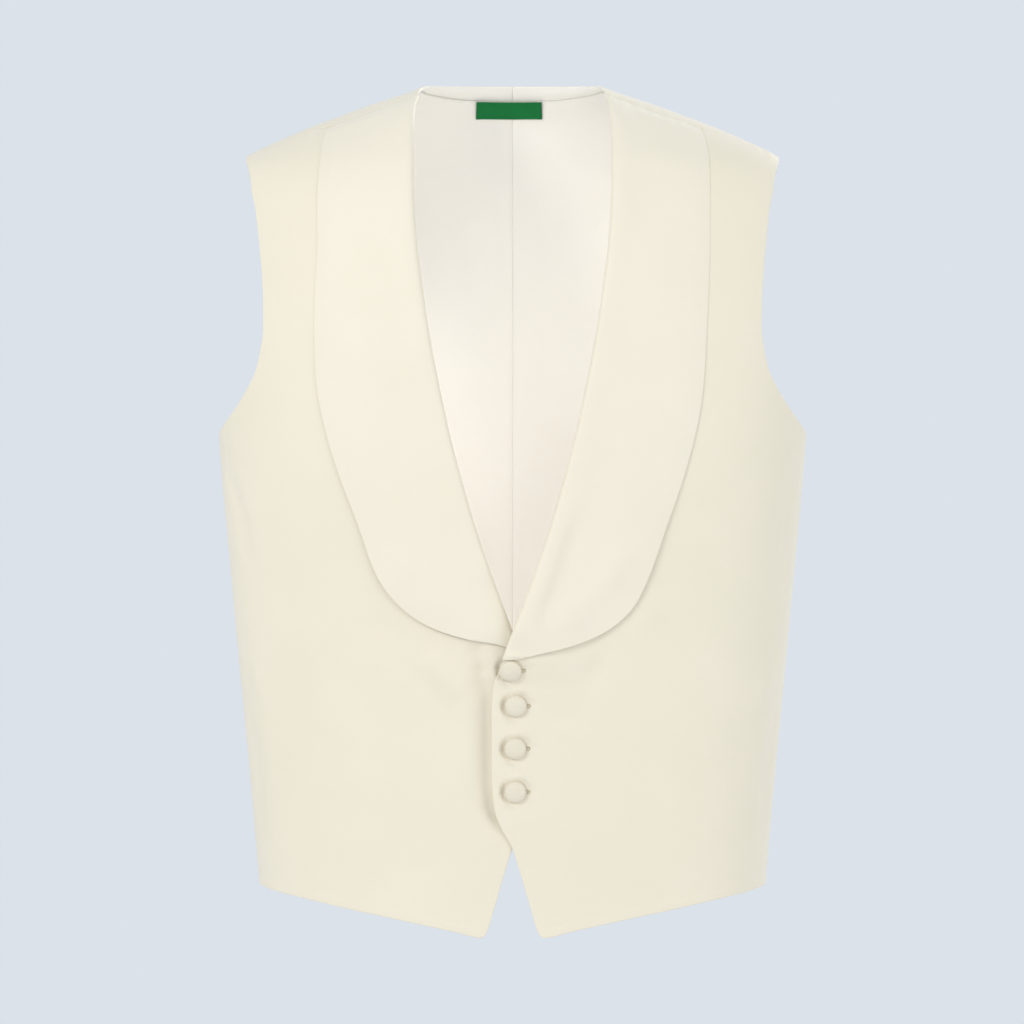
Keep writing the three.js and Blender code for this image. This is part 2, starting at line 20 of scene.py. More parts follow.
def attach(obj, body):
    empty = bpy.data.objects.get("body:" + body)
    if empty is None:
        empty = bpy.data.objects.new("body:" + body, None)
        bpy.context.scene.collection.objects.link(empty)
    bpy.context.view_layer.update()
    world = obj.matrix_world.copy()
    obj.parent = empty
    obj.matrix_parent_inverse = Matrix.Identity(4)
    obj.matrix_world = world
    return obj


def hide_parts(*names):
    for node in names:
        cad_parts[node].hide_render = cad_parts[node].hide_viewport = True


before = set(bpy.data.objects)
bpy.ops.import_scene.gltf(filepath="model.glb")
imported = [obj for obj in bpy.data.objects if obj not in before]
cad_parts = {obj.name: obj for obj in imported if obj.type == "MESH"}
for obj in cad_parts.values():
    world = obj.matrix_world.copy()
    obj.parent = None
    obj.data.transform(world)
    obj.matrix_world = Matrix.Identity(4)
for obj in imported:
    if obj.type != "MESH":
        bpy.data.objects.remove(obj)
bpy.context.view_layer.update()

log = logging.getLogger("waistcoat")

MM = 0.001
Array = np.ndarray
Socket = bpy.types.NodeSocket
Triple = tuple[float, float, float]


class Hand(Enum):
    """The wearer's right and left side, as the sign of X."""

    RIGHT = -1
    LEFT = 1

    @property
    def word(self) -> str:
        """The side in lower case, for names."""
        return self.name.lower()


class Face(Enum):
    """The front and the back of the figure, as the sign of Y."""

    FRONT = -1
    BACK = 1


def lerp(start: Array | float, end: Array | float, share: Array | float) -> Array:
    """A value between two others.

    Args:
        start: The value at share 0.
        end: The value at share 1.
        share: How far between them.

    Returns:
        The value between them.
    """
    return start + (end - start) * share


def smooth_step(low: float, high: float, value: Array | float) -> Array:
    """A smooth rise from 0 at low to 1 at high.

    Args:
        low: Where the rise starts.
        high: Where it ends, which may be below low.
        value: The places to read it at.

    Returns:
        The rise at each place.
    """
    t = np.clip((np.asarray(value, dtype=float) - low) / (high - low), 0, 1)
    return t * t * (3 - 2 * t)


class Table:
    """Rows of numbers, read by smooth curves that never swing past the rows."""

    def __init__(self, rows: Sequence[Sequence[float]]) -> None:
        """Keeps the rows in the order of their first number.

        Args:
            rows: The rows, each as long as the others.
        """
        self.rows = np.array(sorted(rows), dtype=float)

    def read(self, column: int, at: Array | float) -> Array:
        """One column of the table.

        Args:
            column: The column's number, with 0 for the key.
            at: The keys to read it at.

        Returns:
            The column's value at each key.
        """
        x, y = self.rows[:, 0], self.rows[:, column]
        step = np.diff(x)
        rise = np.diff(y) / step
        slope = np.zeros_like(y)
        slope[0], slope[-1] = rise[0], rise[-1]
        before, after = rise[:-1], rise[1:]
        w1, w2 = 2 * step[1:] + step[:-1], step[1:] + 2 * step[:-1]
        same = before * after > 0
        first, second = np.where(same, before, 1), np.where(same, after, 1)
        slope[1:-1] = np.where(same, (w1 + w2) / (w1 / first + w2 / second), 0)
        at = np.asarray(at, dtype=float)
        i = np.clip(np.searchsorted(x, at) - 1, 0, len(x) - 2)
        t = np.clip((at - x[i]) / step[i], 0, 1)
        near = (1 + 2 * t) * (1 - t) ** 2 * y[i] + t * (1 - t) ** 2 * step[i] * slope[i]
        far = t * t * (3 - 2 * t) * y[i + 1] + t * t * (t - 1) * step[i] * slope[i + 1]
        return near + far


def through(rows: Sequence[Sequence[float]], make: Callable[..., Array], per_row: int = 16) -> Array:
    """A smooth line of points through the rows of a table.

    Args:
        rows: The rows in their order along the line.
        make: Turns the columns' values into points.
        per_row: How many points lie between two rows.

    Returns:
        The points.
    """
    numbered = Table([(float(i), *row) for i, row in enumerate(rows)])
    at = np.linspace(0, len(rows) - 1, (len(rows) - 1) * per_row + 1)
    return make(*(numbered.read(k + 1, at) for k in range(len(rows[0]))))


class Figure:
    """The general figure, by its level sections: half width, depths and roundness."""

    SECTIONS = (
        (12, 52, 40, 57, 1.95),
        (6, 58.5, 46, 64, 1.85),
        (1.4, 62, 49, 68, 1.75),
        (-2.8, 72.3, 51, 72, 1.66),
        (-11.3, 98, 56, 78, 1.6),
        (-19.7, 121, 62, 84, 1.57),
        (-28, 143, 67, 88, 1.57),
        (-36.7, 163, 72, 92, 1.6),
        (-45, 181, 76, 96, 1.66),
        (-49.4, 188.5, 78.5, 98, 1.7),
        (-56, 197, 82, 100, 1.77),
        (-66, 204, 86, 103, 1.86),
        (-80, 208.5, 91, 106, 1.96),
        (-107, 211, 98, 110, 2.1),
        (-130, 211.8, 102, 112, 2.2),
        (-152, 212, 105, 113, 2.27),
        (-197, 210.5, 110, 112, 2.33),
        (-242, 207, 112.5, 109, 2.35),
        (-276, 204.5, 113, 105.5, 2.35),
        (-344, 198.1, 111, 99, 2.35),
        (-412, 191.8, 108, 94, 2.35),
        (-479, 185.4, 105, 93, 2.33),
        (-547, 179.4, 103, 96, 2.3),
        (-610, 174, 102, 99, 2.3),
    )
    HEIGHT_STEP = 0.1

    # The heights between which the shoulder is sought, and how often that room is halved.
    SHOULDER_HEIGHTS = (-70.0, 8.0)
    HALVINGS = 44

    def __init__(self) -> None:
        """Reads the sections once, close together, for quick use."""
        table = Table(self.SECTIONS)
        self.heights = np.arange(table.rows[0, 0], table.rows[-1, 0], self.HEIGHT_STEP)
        self.columns = [table.read(k, self.heights) for k in range(1, 5)]

    def section(self, z: Array) -> list[Array]:
        """The sections at some heights.

        Args:
            z: The heights.

        Returns:
            Half width, depth in front, depth behind and roundness at each height.
        """
        return [np.interp(z, self.heights, column) for column in self.columns]

    def level(self, points: Array) -> tuple[Array, Array]:
        """How far outside the figure points lie, as a level that is 0 on its surface.

        Args:
            points: The points, any number of rows of X, Y and Z.

        Returns:
            The level at each point and its outward slope there.
        """
        x, y, z = np.abs(points[..., 0]), np.abs(points[..., 1]), points[..., 2]
        ahead = points[..., 1] < 0

        def total(at: Array) -> tuple[Array, Array, Array, Array]:
            """The level before its root, and the section it was read from.

            Args:
                at: The heights.

            Returns:
                The sum of powers, the half width, the depth and the roundness.
            """
            half, front, back, power = self.section(at)
            depth = np.where(ahead, front, back)
            return (x / half) ** power + (y / depth) ** power, half, depth, power

        here, half, depth, power = total(z)
        rise = total(z + 0.5)[0] - total(z - 0.5)[0]
        slope = np.stack(
            (
                power / half * (x / half) ** (power - 1) * np.sign(points[..., 0]),
                power / depth * (y / depth) ** (power - 1) * np.sign(points[..., 1]),
                rise,
            ),
            axis=-1,
        )
        slope *= (here ** (1 / power - 1) / power)[..., None]
        return here ** (1 / power) - 1, slope

    def normal(self, points: Array) -> Array:
        """The figure's outward direction at points near it.

        Args:
            points: The points.

        Returns:
            A direction of length 1 for each point.
        """
        slope = self.level(points)[1]
        return slope / np.linalg.norm(slope, axis=-1, keepdims=True)

    def settled(self, points: Array, rounds: int = 9) -> Array:
        """The points of the figure's surface nearest to points beside it.

        Args:
            points: The points.
            rounds: How often each point is moved towards the surface.

        Returns:
            The settled points.
        """
        moved = points.copy()
        for _ in range(rounds):
            level, slope = self.level(moved)
            moved -= (level / np.sum(slope * slope, axis=-1))[..., None] * slope
        return moved

    def at(self, x: Array | float, z: Array | float, face: Face) -> Array:
        """The point of the figure at a distance from the centre line.

        Args:
            x: The distance.
            z: The height.
            face: Whether it lies in front or behind.

        Returns:
            The points.
        """
        x, z = np.broadcast_arrays(np.asarray(x, dtype=float), np.asarray(z, dtype=float))
        half, front, back, power = self.section(z)
        depth = front if face is Face.FRONT else back
        ratio = np.clip(np.abs(x) / half, 0, 1)
        y = face.value * depth * (1 - ratio**power) ** (1 / power)
        return np.stack((x, y, z), axis=-1)

    def away(self, away: Array | float, z: Array | float, face: Face) -> Array:
        """The point of the figure at a distance from its side line or its ridge.

        Args:
            away: The distance.
            z: The height.
            face: Whether it lies in front or behind.

        Returns:
            The points.
        """
        away, z = np.broadcast_arrays(np.asarray(away, dtype=float), np.asarray(z, dtype=float))
        half, front, back, power = self.section(z)
        depth = front if face is Face.FRONT else back
        x = half * (1 - np.clip(away / depth, 0, 1) ** power) ** (1 / power)
        return np.stack((x, face.value * away, z), axis=-1)

    def shoulder(self, x: Array, forward: Array) -> Array:
        """The point on the shoulder at a distance in front of its ridge.

        Args:
            x: The distances from the centre line.
            forward: The distances in front of the ridge.

        Returns:
            The points.
        """
        low, high = (np.full_like(x, height) for height in self.SHOULDER_HEIGHTS)
        for _ in range(self.HALVINGS):
            z = (low + high) / 2
            outside = self.level(np.stack((x, -forward, z), axis=-1))[0] > 0
            high, low = np.where(outside, z, high), np.where(outside, low, z)
        return self.away(forward, (low + high) / 2, Face.FRONT)


FIGURE = Figure()


class Curve:
    """A line through points, read by a share of its length from 0 to 1."""

    def __init__(self, points: Array) -> None:
        """Measures the line.

        Args:
            points: The points in order.
        """
        self.points = points
        lengths = np.linalg.norm(np.diff(points, axis=0), axis=1)
        self.lengths = np.concatenate(([0.0], np.cumsum(lengths)))

    @property
    def length(self) -> float:
        """The whole length."""
        return float(self.lengths[-1])

    def share(self, index: int) -> float:
        """The share of the length at which the line passes a point, by its number."""
        return float(self.lengths[index] / self.length)

    def at(self, share: Array | float) -> Array:
        """The points at shares of the length.

        Args:
            share: The shares, from 0 to 1.

        Returns:
            A point for each share.
        """
        goal = np.clip(share, 0, 1) * self.length
        return np.stack([np.interp(goal, self.lengths, self.points[:, k]) for k in range(3)], axis=-1)


@dataclass(frozen=True)
class Panel:
    """A flat cut piece laid on the figure: spread between four lines and settled.

    Attributes:
        top: The upper line from the inner to the outer corner.
        bottom: The lower line.
        inner: The line towards the centre, from the top down.
        outer: The line towards the side.
        slant: How far the rows fall towards the inner line.
    """

    top: Curve
    bottom: Curve
    inner: Curve
    outer: Curve
    slant: float

    def grid(self, across: Array, down: Array) -> Array:
        """The panel's points.

        Args:
            across: The columns, as shares of the width.
            down: The rows, as shares of the length.

        Returns:
            Rows of columns of points.
        """
        u, v = across[None, :, None], down[:, None, None]
        slanted = down + self.slant * np.sin(np.pi * down)
        along = lerp(self.top.at(across)[None], self.bottom.at(across)[None], v)
        over = lerp(self.inner.at(slanted)[:, None], self.outer.at(down)[:, None], u)
        high = lerp(self.top.at(0.0), self.top.at(1.0), u)
        low = lerp(self.bottom.at(0.0), self.bottom.at(1.0), u)
        return FIGURE.settled(along + over - lerp(high, low, v))


@dataclass(frozen=True)
class Crease:
    """A soft trough or ridge that fades towards its ends.

    Attributes:
        line: Its points, as X from the centre line and Z.
        height: How far it stands out, below 0 for a trough.
        width: How far it reaches to each side.
        fade: The share of its length over which each end fades.
    """

    line: tuple[tuple[float, float], ...]
    height: float
    width: float
    fade: float = 0.3

    def lift(self, x: Array, z: Array) -> Array:
        """How far it moves the cloth at each place.

        Args:
            x: The places' distances from the centre line.
            z: Their heights.

        Returns:
            The distances outwards.
        """
        line = np.array(self.line, dtype=float)
        steps = np.linalg.norm(np.diff(line, axis=0), axis=1)
        starts = np.concatenate(([0.0], np.cumsum(steps)))
        nearest = np.full(x.shape, 1e9)
        along = np.zeros(x.shape)
        for i, step in enumerate(steps):
            unit = (line[i + 1] - line[i]) / step
            t = np.clip((x - line[i, 0]) * unit[0] + (z - line[i, 1]) * unit[1], 0, step)
            distance = np.hypot(x - line[i, 0] - t * unit[0], z - line[i, 1] - t * unit[1])
            closer = distance < nearest
            nearest = np.where(closer, distance, nearest)
            along = np.where(closer, starts[i] + t, along)
        share = along / starts[-1]
        ends = smooth_step(0, self.fade, share) * smooth_step(1, 1 - self.fade, share)
        return self.height * ends * np.exp(-((nearest / self.width) ** 2))


@dataclass(frozen=True)
class Ripples:
    """The slight unevenness of soft cloth: long waves in seeded directions.

    Attributes:
        seed: The number that the directions and lengths come from.
        height: How far the waves move the cloth.
        shortest: The shortest wave.
        longest: The longest wave.
        count: How many waves there are.
    """

    seed: int
    height: float
    shortest: float = 28
    longest: float = 120
    count: int = 14

    def lift(self, x: Array, z: Array) -> Array:
        """How far they move the cloth at each place.

        Args:
            x: The places' distances from the centre line.
            z: Their heights.

        Returns:
            The distances outwards.
        """
        rng = np.random.default_rng(self.seed)
        total = np.zeros(x.shape)
        for _ in range(self.count):
            turn, phase = rng.uniform(0, 2 * np.pi, 2)
            wave = rng.uniform(self.shortest, self.longest)
            path = x * np.cos(turn) + z * np.sin(turn)
            total += (wave / self.longest) * np.sin(2 * np.pi * path / wave + phase)
        return total * self.height / math.sqrt(self.count / 2)


@dataclass(frozen=True)
class Puckers:
    """Small gathers that run off a seam.

    Attributes:
        pitch: The distance from one to the next.
        reach: How far they run from the seam.
        height: How far they stand out.
        phase: Where their row starts.
    """

    pitch: float
    reach: float
    height: float
    phase: float

    def lift(self, along: Array, away: Array) -> Array:
        """How far they move the cloth.

        Args:
            along: The places' distances along the seam.
            away: Their distances from the seam.

        Returns:
            The distances outwards.
        """
        turn = 2 * np.pi * along / self.pitch + self.phase + 1.7 * np.sin(along / 29 + self.phase)
        uneven = 0.55 + 0.45 * np.sin(along / 17 + 2 * self.phase)
        return self.height * uneven * np.cos(turn) * np.exp(-((away / self.reach) ** 1.5))


@dataclass
class Spread:
    """A grid of points on the figure with close lines along its borders.

    Attributes:
        points: Rows of columns of points, on the wearer's left.
        full: How full the wall is at each point, 0 at a border and 1 inside.
        from_inner: The distance of each point from the inner border.
        from_outer: Its distance from the outer border.
        from_top: Its distance from the upper border.
        from_bottom: Its distance from the lower border.
    """

    points: Array
    full: Array
    from_inner: Array = field(init=False)
    from_outer: Array = field(init=False)
    from_top: Array = field(init=False)
    from_bottom: Array = field(init=False)

    def __post_init__(self) -> None:
        """Measures the distances to the borders along the rows and columns."""
        across = np.linalg.norm(np.diff(self.points, axis=1), axis=2)
        down = np.linalg.norm(np.diff(self.points, axis=0), axis=2)
        self.from_inner = np.pad(np.cumsum(across, axis=1), ((0, 0), (1, 0)))
        self.from_outer = self.from_inner[:, -1:] - self.from_inner
        self.from_top = np.pad(np.cumsum(down, axis=0), ((1, 0), (0, 0)))
        self.from_bottom = self.from_top[-1:] - self.from_top

    @property
    def x(self) -> Array:
        """The distance of each point from the centre line."""
        return self.points[..., 0]

    @property
    def z(self) -> Array:
        """The height of each point."""
        return self.points[..., 2]

    @property
    def border(self) -> Array:
        """The distance of each point from the nearest border."""
        sides = np.minimum(self.from_inner, self.from_outer)
        return np.minimum(sides, np.minimum(self.from_top, self.from_bottom))


BORDER_TURNS = np.radians((24.0, 48.0, 70.0, 90.0))


def bordered(points: Array, radius: float) -> tuple[Array, Array]:
    """Adds close lines beside the first and the last line of a grid.

    Args:
        points: Lines of points.
        radius: The radius of the rounded edge that they make.

    Returns:
        The lines with the new ones, and how full the wall is at each line.
    """
    steps = radius * (1 - np.cos(BORDER_TURNS))

    def beside(first: Array, second: Array) -> list[Array]:
        """The close lines beside a border.

        Args:
            first: The border.
            second: The line next to it.

        Returns:
            The lines, from the border inwards.
        """
        gap = np.linalg.norm(second - first, axis=-1, keepdims=True)
        unit = (second - first) / gap
        return [first + unit * d * np.minimum(1, 0.85 * gap / radius) for d in steps]

    start = beside(points[0], points[1])
    end = beside(points[-1], points[-2])
    lines = [points[0], *start, *points[1:-1], *reversed(end), points[-1]]
    edge = [0.0, *np.sin(BORDER_TURNS)]
    full = np.array([*edge, *np.ones(len(points) - 2), *reversed(edge)])
    return np.stack(lines), full


def spread(points: Array, radius: float) -> Spread:
    """A grid of points made ready for a wall with rounded edges.

    Args:
        points: Rows of columns of points.
        radius: The radius of the edges.

    Returns:
        The grid with close lines along its borders.
    """
    rows, full_down = bordered(points, radius)
    columns, full_across = bordered(rows.swapaxes(0, 1), radius)
    full = np.minimum(full_down[:, None], full_across[None, :])
    return Spread(FIGURE.settled(columns.swapaxes(0, 1), 3), full)


def mesh_object(
    name: str, vertices: Array, faces: Array, places: Array | None = None
) -> bpy.types.Object:
    """A smooth mesh object with its faces turned outwards.

    Args:
        name: The object's name.
        vertices: The points, in millimetres.
        faces: The faces, each a row of point numbers, all with as many corners.
        places: Each point's place on the flat cloth in metres, for the weave.

    Returns:
        The object.
    """
    corner = vertices[faces]
    volume = 0.0
    for k in range(1, faces.shape[1] - 1):
        volume += float(np.sum(corner[:, 0] * np.cross(corner[:, k], corner[:, k + 1])))
    if volume < 0:
        faces = faces[:, ::-1]
    mesh = bpy.data.meshes.new(name)
    mesh.from_pydata((vertices * MM).tolist(), [], faces.tolist())
    mesh.polygons.foreach_set("use_smooth", np.ones(len(mesh.polygons), dtype=bool))
    if places is not None:
        layer = mesh.uv_layers.new(name="cloth")
        layer.data.foreach_set("uv", places[faces.ravel()].astype(np.float32).ravel())
    made = bpy.data.objects.new(name, mesh)
    bpy.context.collection.objects.link(made)
    return made


def grid_faces(index: Array) -> Array:
    """The four-sided faces between neighbours in a grid.

    Args:
        index: The grid of point numbers.

    Returns:
        The faces, each a row of four numbers.
    """
    corners = (index[:-1, :-1], index[:-1, 1:], index[1:, 1:], index[1:, :-1])
    return np.stack([c.ravel() for c in corners], axis=1)


def wall_object(name: str, hand: Hand, cloth: Spread, height: Array, wall: float) -> bpy.types.Object:
    """A closed shell of cloth with rounded edges.

    Args:
        name: The object's name.
        hand: The side it lies on; the grid is mirrored for the right.
        cloth: The grid.
        height: How far the outer face stands off the figure.
        wall: The thickness.

    Returns:
        The object.
    """
    rows, columns = cloth.full.shape
    normal = FIGURE.normal(cloth.points)
    middle = cloth.points + normal * (height - wall / 2)[..., None]
    half = normal * (wall / 2 * cloth.full)[..., None]
    inside = np.zeros((rows, columns), dtype=bool)
    inside[1:-1, 1:-1] = True
    outer = np.arange(rows * columns).reshape(rows, columns)
    inner = outer.copy()
    inner[inside] = rows * columns + np.arange(inside.sum())
    vertices = np.concatenate(((middle + half).reshape(-1, 3), (middle - half)[inside]))
    vertices = vertices * np.array([hand.value, 1, 1])
    place = np.stack((cloth.from_inner, cloth.from_top), axis=-1) * MM
    places = np.concatenate((place.reshape(-1, 2), place[inside]))
    faces = np.concatenate((grid_faces(outer), grid_faces(inner)[:, ::-1]))
    return mesh_object(name, vertices, faces, places)


def grid_area(points: Array) -> float:
    """The area of a grid of points.

    Args:
        points: Rows of columns of points, in millimetres.

    Returns:
        The area in square metres.
    """
    a, b = np.diff(points, axis=0)[:, :-1], np.diff(points, axis=1)[:-1]
    return float(np.linalg.norm(np.cross(a, b), axis=-1).sum()) * MM * MM


# How fine the cloth's cloudy patches, its slubs and its crumples are, how far the first
# two turn the colour towards the darker one, how much the slubs change the roughness,
# how unevenly the threads run, and the part of a noise's range that is used.
PATCH_SCALE = 16
PATCH_SHARE = 0.45
SLUB_STRETCH = (140, 2200, 1)
SLUB_SHARE = 0.25
CRUMPLE_SCALE = 70
ROUGHNESS_CHANGES = (-0.05, 0.07)
THREAD_WAVER = 0.6
NOISE_RANGE = (0.3, 0.7)


@dataclass(frozen=True)
class Finish:
    """A woven cloth: its colours, sheen and weave at real scale.

    Attributes:
        name: The material's name.
        colour: The main colour, linear.
        shade: The colour of its darker threads and slight stains, linear.
        roughness: How dull it is.
        sheen: How strong the soft sheen of its fibres is.
        thread: The distance between two threads, in metres.
        relief: How far the threads stand out, in metres.
        crumple: How far its finest unevenness stands out, in metres.
        sheen_roughness: How wide the sheen is.
        specular: How strong its gloss is.
        anisotropic: How far its gloss runs along the threads.
    """

    name: str
    colour: Triple
    shade: Triple
    roughness: float = 0.5
    sheen: float = 0.3
    thread: float = 0.0004
    relief: float = 0.00005
    crumple: float = 0.00012
    sheen_roughness: float = 0.4
    specular: float = 0.4
    anisotropic: float = 0.25

    def material(self) -> bpy.types.Material:
        """The material, made once and then shared.

        Returns:
            The material.
        """
        known = bpy.data.materials.get(self.name)
        if known is not None:
            return known
        made = bpy.data.materials.new(self.name)
        made.use_nodes = True
        nodes, links = made.node_tree.nodes, made.node_tree.links
        shader = nodes["Principled BSDF"]
        shader.inputs["Sheen Weight"].default_value = self.sheen
        shader.inputs["Sheen Roughness"].default_value = self.sheen_roughness
        shader.inputs["Specular IOR Level"].default_value = self.specular
        shader.inputs["Anisotropic"].default_value = self.anisotropic
        place = nodes.new("ShaderNodeUVMap")
        place.uv_map = "cloth"
        body = nodes.new("ShaderNodeTexCoord")

        patches = self._noise(made, body.outputs["Object"], (1, 1, 1), PATCH_SCALE, 3)
        slubs = self._noise(made, place.outputs["UV"], SLUB_STRETCH, 1, 2)
        tint = nodes.new("ShaderNodeMix")
        tint.data_type = "RGBA"
        tint.inputs["A"].default_value = (*self.colour, 1)
        tint.inputs["B"].default_value = (*self.shade, 1)
        stains = self._ranged(made, patches, 0.0, PATCH_SHARE)
        amount = self._math(made, "ADD", stains, self._ranged(made, slubs, 0.0, SLUB_SHARE))
        links.new(amount, tint.inputs["Factor"])
        links.new(tint.outputs["Result"], shader.inputs["Base Color"])
        smooth, dull = (self.roughness + change for change in ROUGHNESS_CHANGES)
        links.new(self._ranged(made, slubs, smooth, dull), shader.inputs["Roughness"])

        warp = self._threads(made, place.outputs["UV"], "X")
        weft = self._threads(made, place.outputs["UV"], "Y")
        weave = self._math(made, "MAXIMUM", warp, weft)
        crumples = self._noise(made, body.outputs["Object"], (1, 1, 1), CRUMPLE_SCALE, 3)
        bumps = []
        for height, strength, distance in ((weave, 0.5, self.relief), (crumples, 1.0, self.crumple)):
            bump = nodes.new("ShaderNodeBump")
            bump.inputs["Strength"].default_value = strength
            bump.inputs["Distance"].default_value = distance
            links.new(height, bump.inputs["Height"])
            bumps.append(bump)
        links.new(bumps[0].outputs["Normal"], bumps[1].inputs["Normal"])
        links.new(bumps[1].outputs["Normal"], shader.inputs["Normal"])
        return made

    def _threads(self, made: bpy.types.Material, place: Socket, way: str) -> Socket:
        """Rows of threads across the cloth.

        Args:
            made: The material.
            place: The place on the flat cloth.
            way: The axis that the threads lie across.

        Returns:
            How high the threads stand.
        """
        wave = made.node_tree.nodes.new("ShaderNodeTexWave")
        wave.bands_direction = way
        wave.inputs["Scale"].default_value = 2 * math.pi / 20 / self.thread
        wave.inputs["Distortion"].default_value = THREAD_WAVER
        wave.inputs["Detail"].default_value = 1
        made.node_tree.links.new(place, wave.inputs["Vector"])
        return wave.outputs["Fac"]

    @staticmethod
    def _noise(
        made: bpy.types.Material, place: Socket, stretch: Triple, scale: float, detail: float
    ) -> Socket:
        """Cloudy noise, stretched along the cloth.

        Args:
            made: The material.
            place: The place it is read at.
            stretch: How much finer it is along each axis.
            scale: How fine it is.
            detail: How many finer layers it has.

        Returns:
            The noise.
        """
        nodes, links = made.node_tree.nodes, made.node_tree.links
        mapping = nodes.new("ShaderNodeMapping")
        mapping.inputs["Scale"].default_value = stretch
        links.new(place, mapping.inputs["Vector"])
        noise = nodes.new("ShaderNodeTexNoise")
        noise.inputs["Scale"].default_value = scale
        noise.inputs["Detail"].default_value = detail
        links.new(mapping.outputs["Vector"], noise.inputs["Vector"])
        return noise.outputs["Fac"]

    @staticmethod
    def _ranged(made: bpy.types.Material, value: Socket, low: float, high: float) -> Socket:
        """A noise turned into a range.

        Args:
            made: The material.
            value: The noise.
            low: What its low values become.
            high: What its high values become.

        Returns:
            The value in the range.
        """
        node = made.node_tree.nodes.new("ShaderNodeMapRange")
        node.inputs["From Min"].default_value, node.inputs["From Max"].default_value = NOISE_RANGE
        node.inputs["To Min"].default_value, node.inputs["To Max"].default_value = low, high
        made.node_tree.links.new(value, node.inputs["Value"])
        return node.outputs["Result"]

    @staticmethod
    def _math(made: bpy.types.Material, way: str, first: Socket, second: Socket) -> Socket:
        """Two values put together.

        Args:
            made: The material.
            way: The sum that joins them.
            first: The first value.
            second: The second value.

        Returns:
            The joined value.
        """
        node = made.node_tree.nodes.new("ShaderNodeMath")
        node.operation = way
        made.node_tree.links.new(first, node.inputs[0])
        made.node_tree.links.new(second, node.inputs[1])
        return node.outputs["Value"]


SILK = Finish("cream silk", (0.845, 0.764, 0.612), (0.808, 0.742, 0.572))
LAPEL_SILK = Finish("lapel silk", (0.862, 0.785, 0.640), (0.826, 0.758, 0.598), roughness=0.46)
LINING = Finish(
    "lining silk", (0.85, 0.825, 0.775), (0.825, 0.79, 0.725), roughness=0.55, relief=0.00003
)
BUTTON_SILK = Finish("button silk", (0.79, 0.715, 0.575), (0.75, 0.67, 0.52), roughness=0.48)
LABEL = Finish(
    "green label tape",
    (0.0085, 0.165, 0.042),
    (0.007, 0.135, 0.034),
    roughness=0.85,
    sheen=0.03,
    specular=0.15,
    thread=0.0006,
    relief=0.0001,
)
THREAD = Finish("silk thread", (0.80, 0.77, 0.70), (0.70, 0.66, 0.56), roughness=0.5, thread=0.0002)
# The buttonhole thread is painted olive-brown, far darker than the silk, as painted shade in the
# eyelets and slits.
SHADED_HOLE_THREAD = Finish(
    "buttonhole thread painted as shade",
    (0.68, 0.59, 0.40),
    (0.50, 0.40, 0.22),
    roughness=0.5,
    thread=0.0002,
)
LABEL_THREAD = Finish(
    "label thread",
    (0.012, 0.12, 0.035),
    (0.01, 0.09, 0.03),
    roughness=0.6,
    thread=0.0002,
)


def placed(made: bpy.types.Object, node: str | None, finish: Finish) -> bpy.types.Object:
    """Gives a piece its finish and its place in the frame.

    Args:
        made: The piece.
        node: The solid it stands for, or None for a detail on another piece.
        finish: The finish.

    Returns:
        The piece.
    """
    made.data.materials.append(finish.material())
    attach(made, "root")
    if node is not None:
        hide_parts(node)
    log.info("%s: %d faces", made.name, len(made.data.polygons))
    return made


# The fronts' and the back's thickness, the room between two layers of cloth, the width
# of a seam, and how far the fronts dip under the lapels at the shoulder seam.
SHELL_WALL = 1.6
LAYER_GAP = 0.45
SEAM_GAP = 0.03
LAPEL_DIP = 1.25
SEAM_NECK_X = 66.5
SEAM_END_X = 187
UNDERARM_Z = -244.5
SIDE_HEM_Z = -559.5

# The shoulder seam's distance in front of the ridge, by the distance from the centre.
SHOULDER_SEAM = Table(((66.5, 26), (100, 25), (133, 20), (160, 14), (187, 8)))
SEAM_POINTS = 97

# The armhole by its height, with its distance from the side line in front and behind.
ARMHOLE = (
    (-50.1, 8, 8),
    (-55, 20, 22),
    (-64, 32.5, 36),
    (-75.7, 41.3, 45.5),
    (-87, 48, 52.5),
    (-110, 57, 62),
    (-132, 63.5, 67.5),
    (-155, 68, 71),
    (-177, 70, 72),
    (-199, 68, 69),
    (-210, 64, 64),
    (-221, 57, 57),
    (-232, 45, 45),
    (-239.5, 30, 30),
    (-243.5, 14, 14),
    (UNDERARM_Z, SEAM_GAP / 2, SEAM_GAP / 2),
)
SIDE_POINTS = 80

# How strongly the rows crowd towards the shoulder, and the height of a turned hem with
# the distances from the edge between which it ends.
ROW_CROWDING = 1.7
HEM_STEP = 0.16
HEM_WIDTHS = (5.2, 6.8)


def seam_curve(extra: float, start_x: float = SEAM_NECK_X) -> Curve:
    """The shoulder seam.

    Args:
        extra: How far it is moved forwards.
        start_x: Where it starts at the neck.

    Returns:
        The line from the neck to the armhole.
    """
    x = np.linspace(start_x, SEAM_END_X, SEAM_POINTS)
    return Curve(FIGURE.shoulder(x, SHOULDER_SEAM.read(1, x) + extra))


def armhole_and_side(face: Face, start: Array) -> Curve:
    """The armhole's edge and then the side seam.

    Args:
        face: Whether it belongs to the front or the back.
        start: The points before the armhole.

    Returns:
        The line.
    """
    column = 1 if face is Face.FRONT else 2
    rows = [(row[column], row[0]) for row in ARMHOLE]
    edge = through(rows, lambda away, z: FIGURE.away(away, z, face))
    side_z = np.linspace(UNDERARM_Z, SIDE_HEM_Z, SIDE_POINTS + 1)
    seam = FIGURE.away(SEAM_GAP / 2, side_z, face)
    return Curve(np.concatenate((start, edge[1:], seam[1:])))


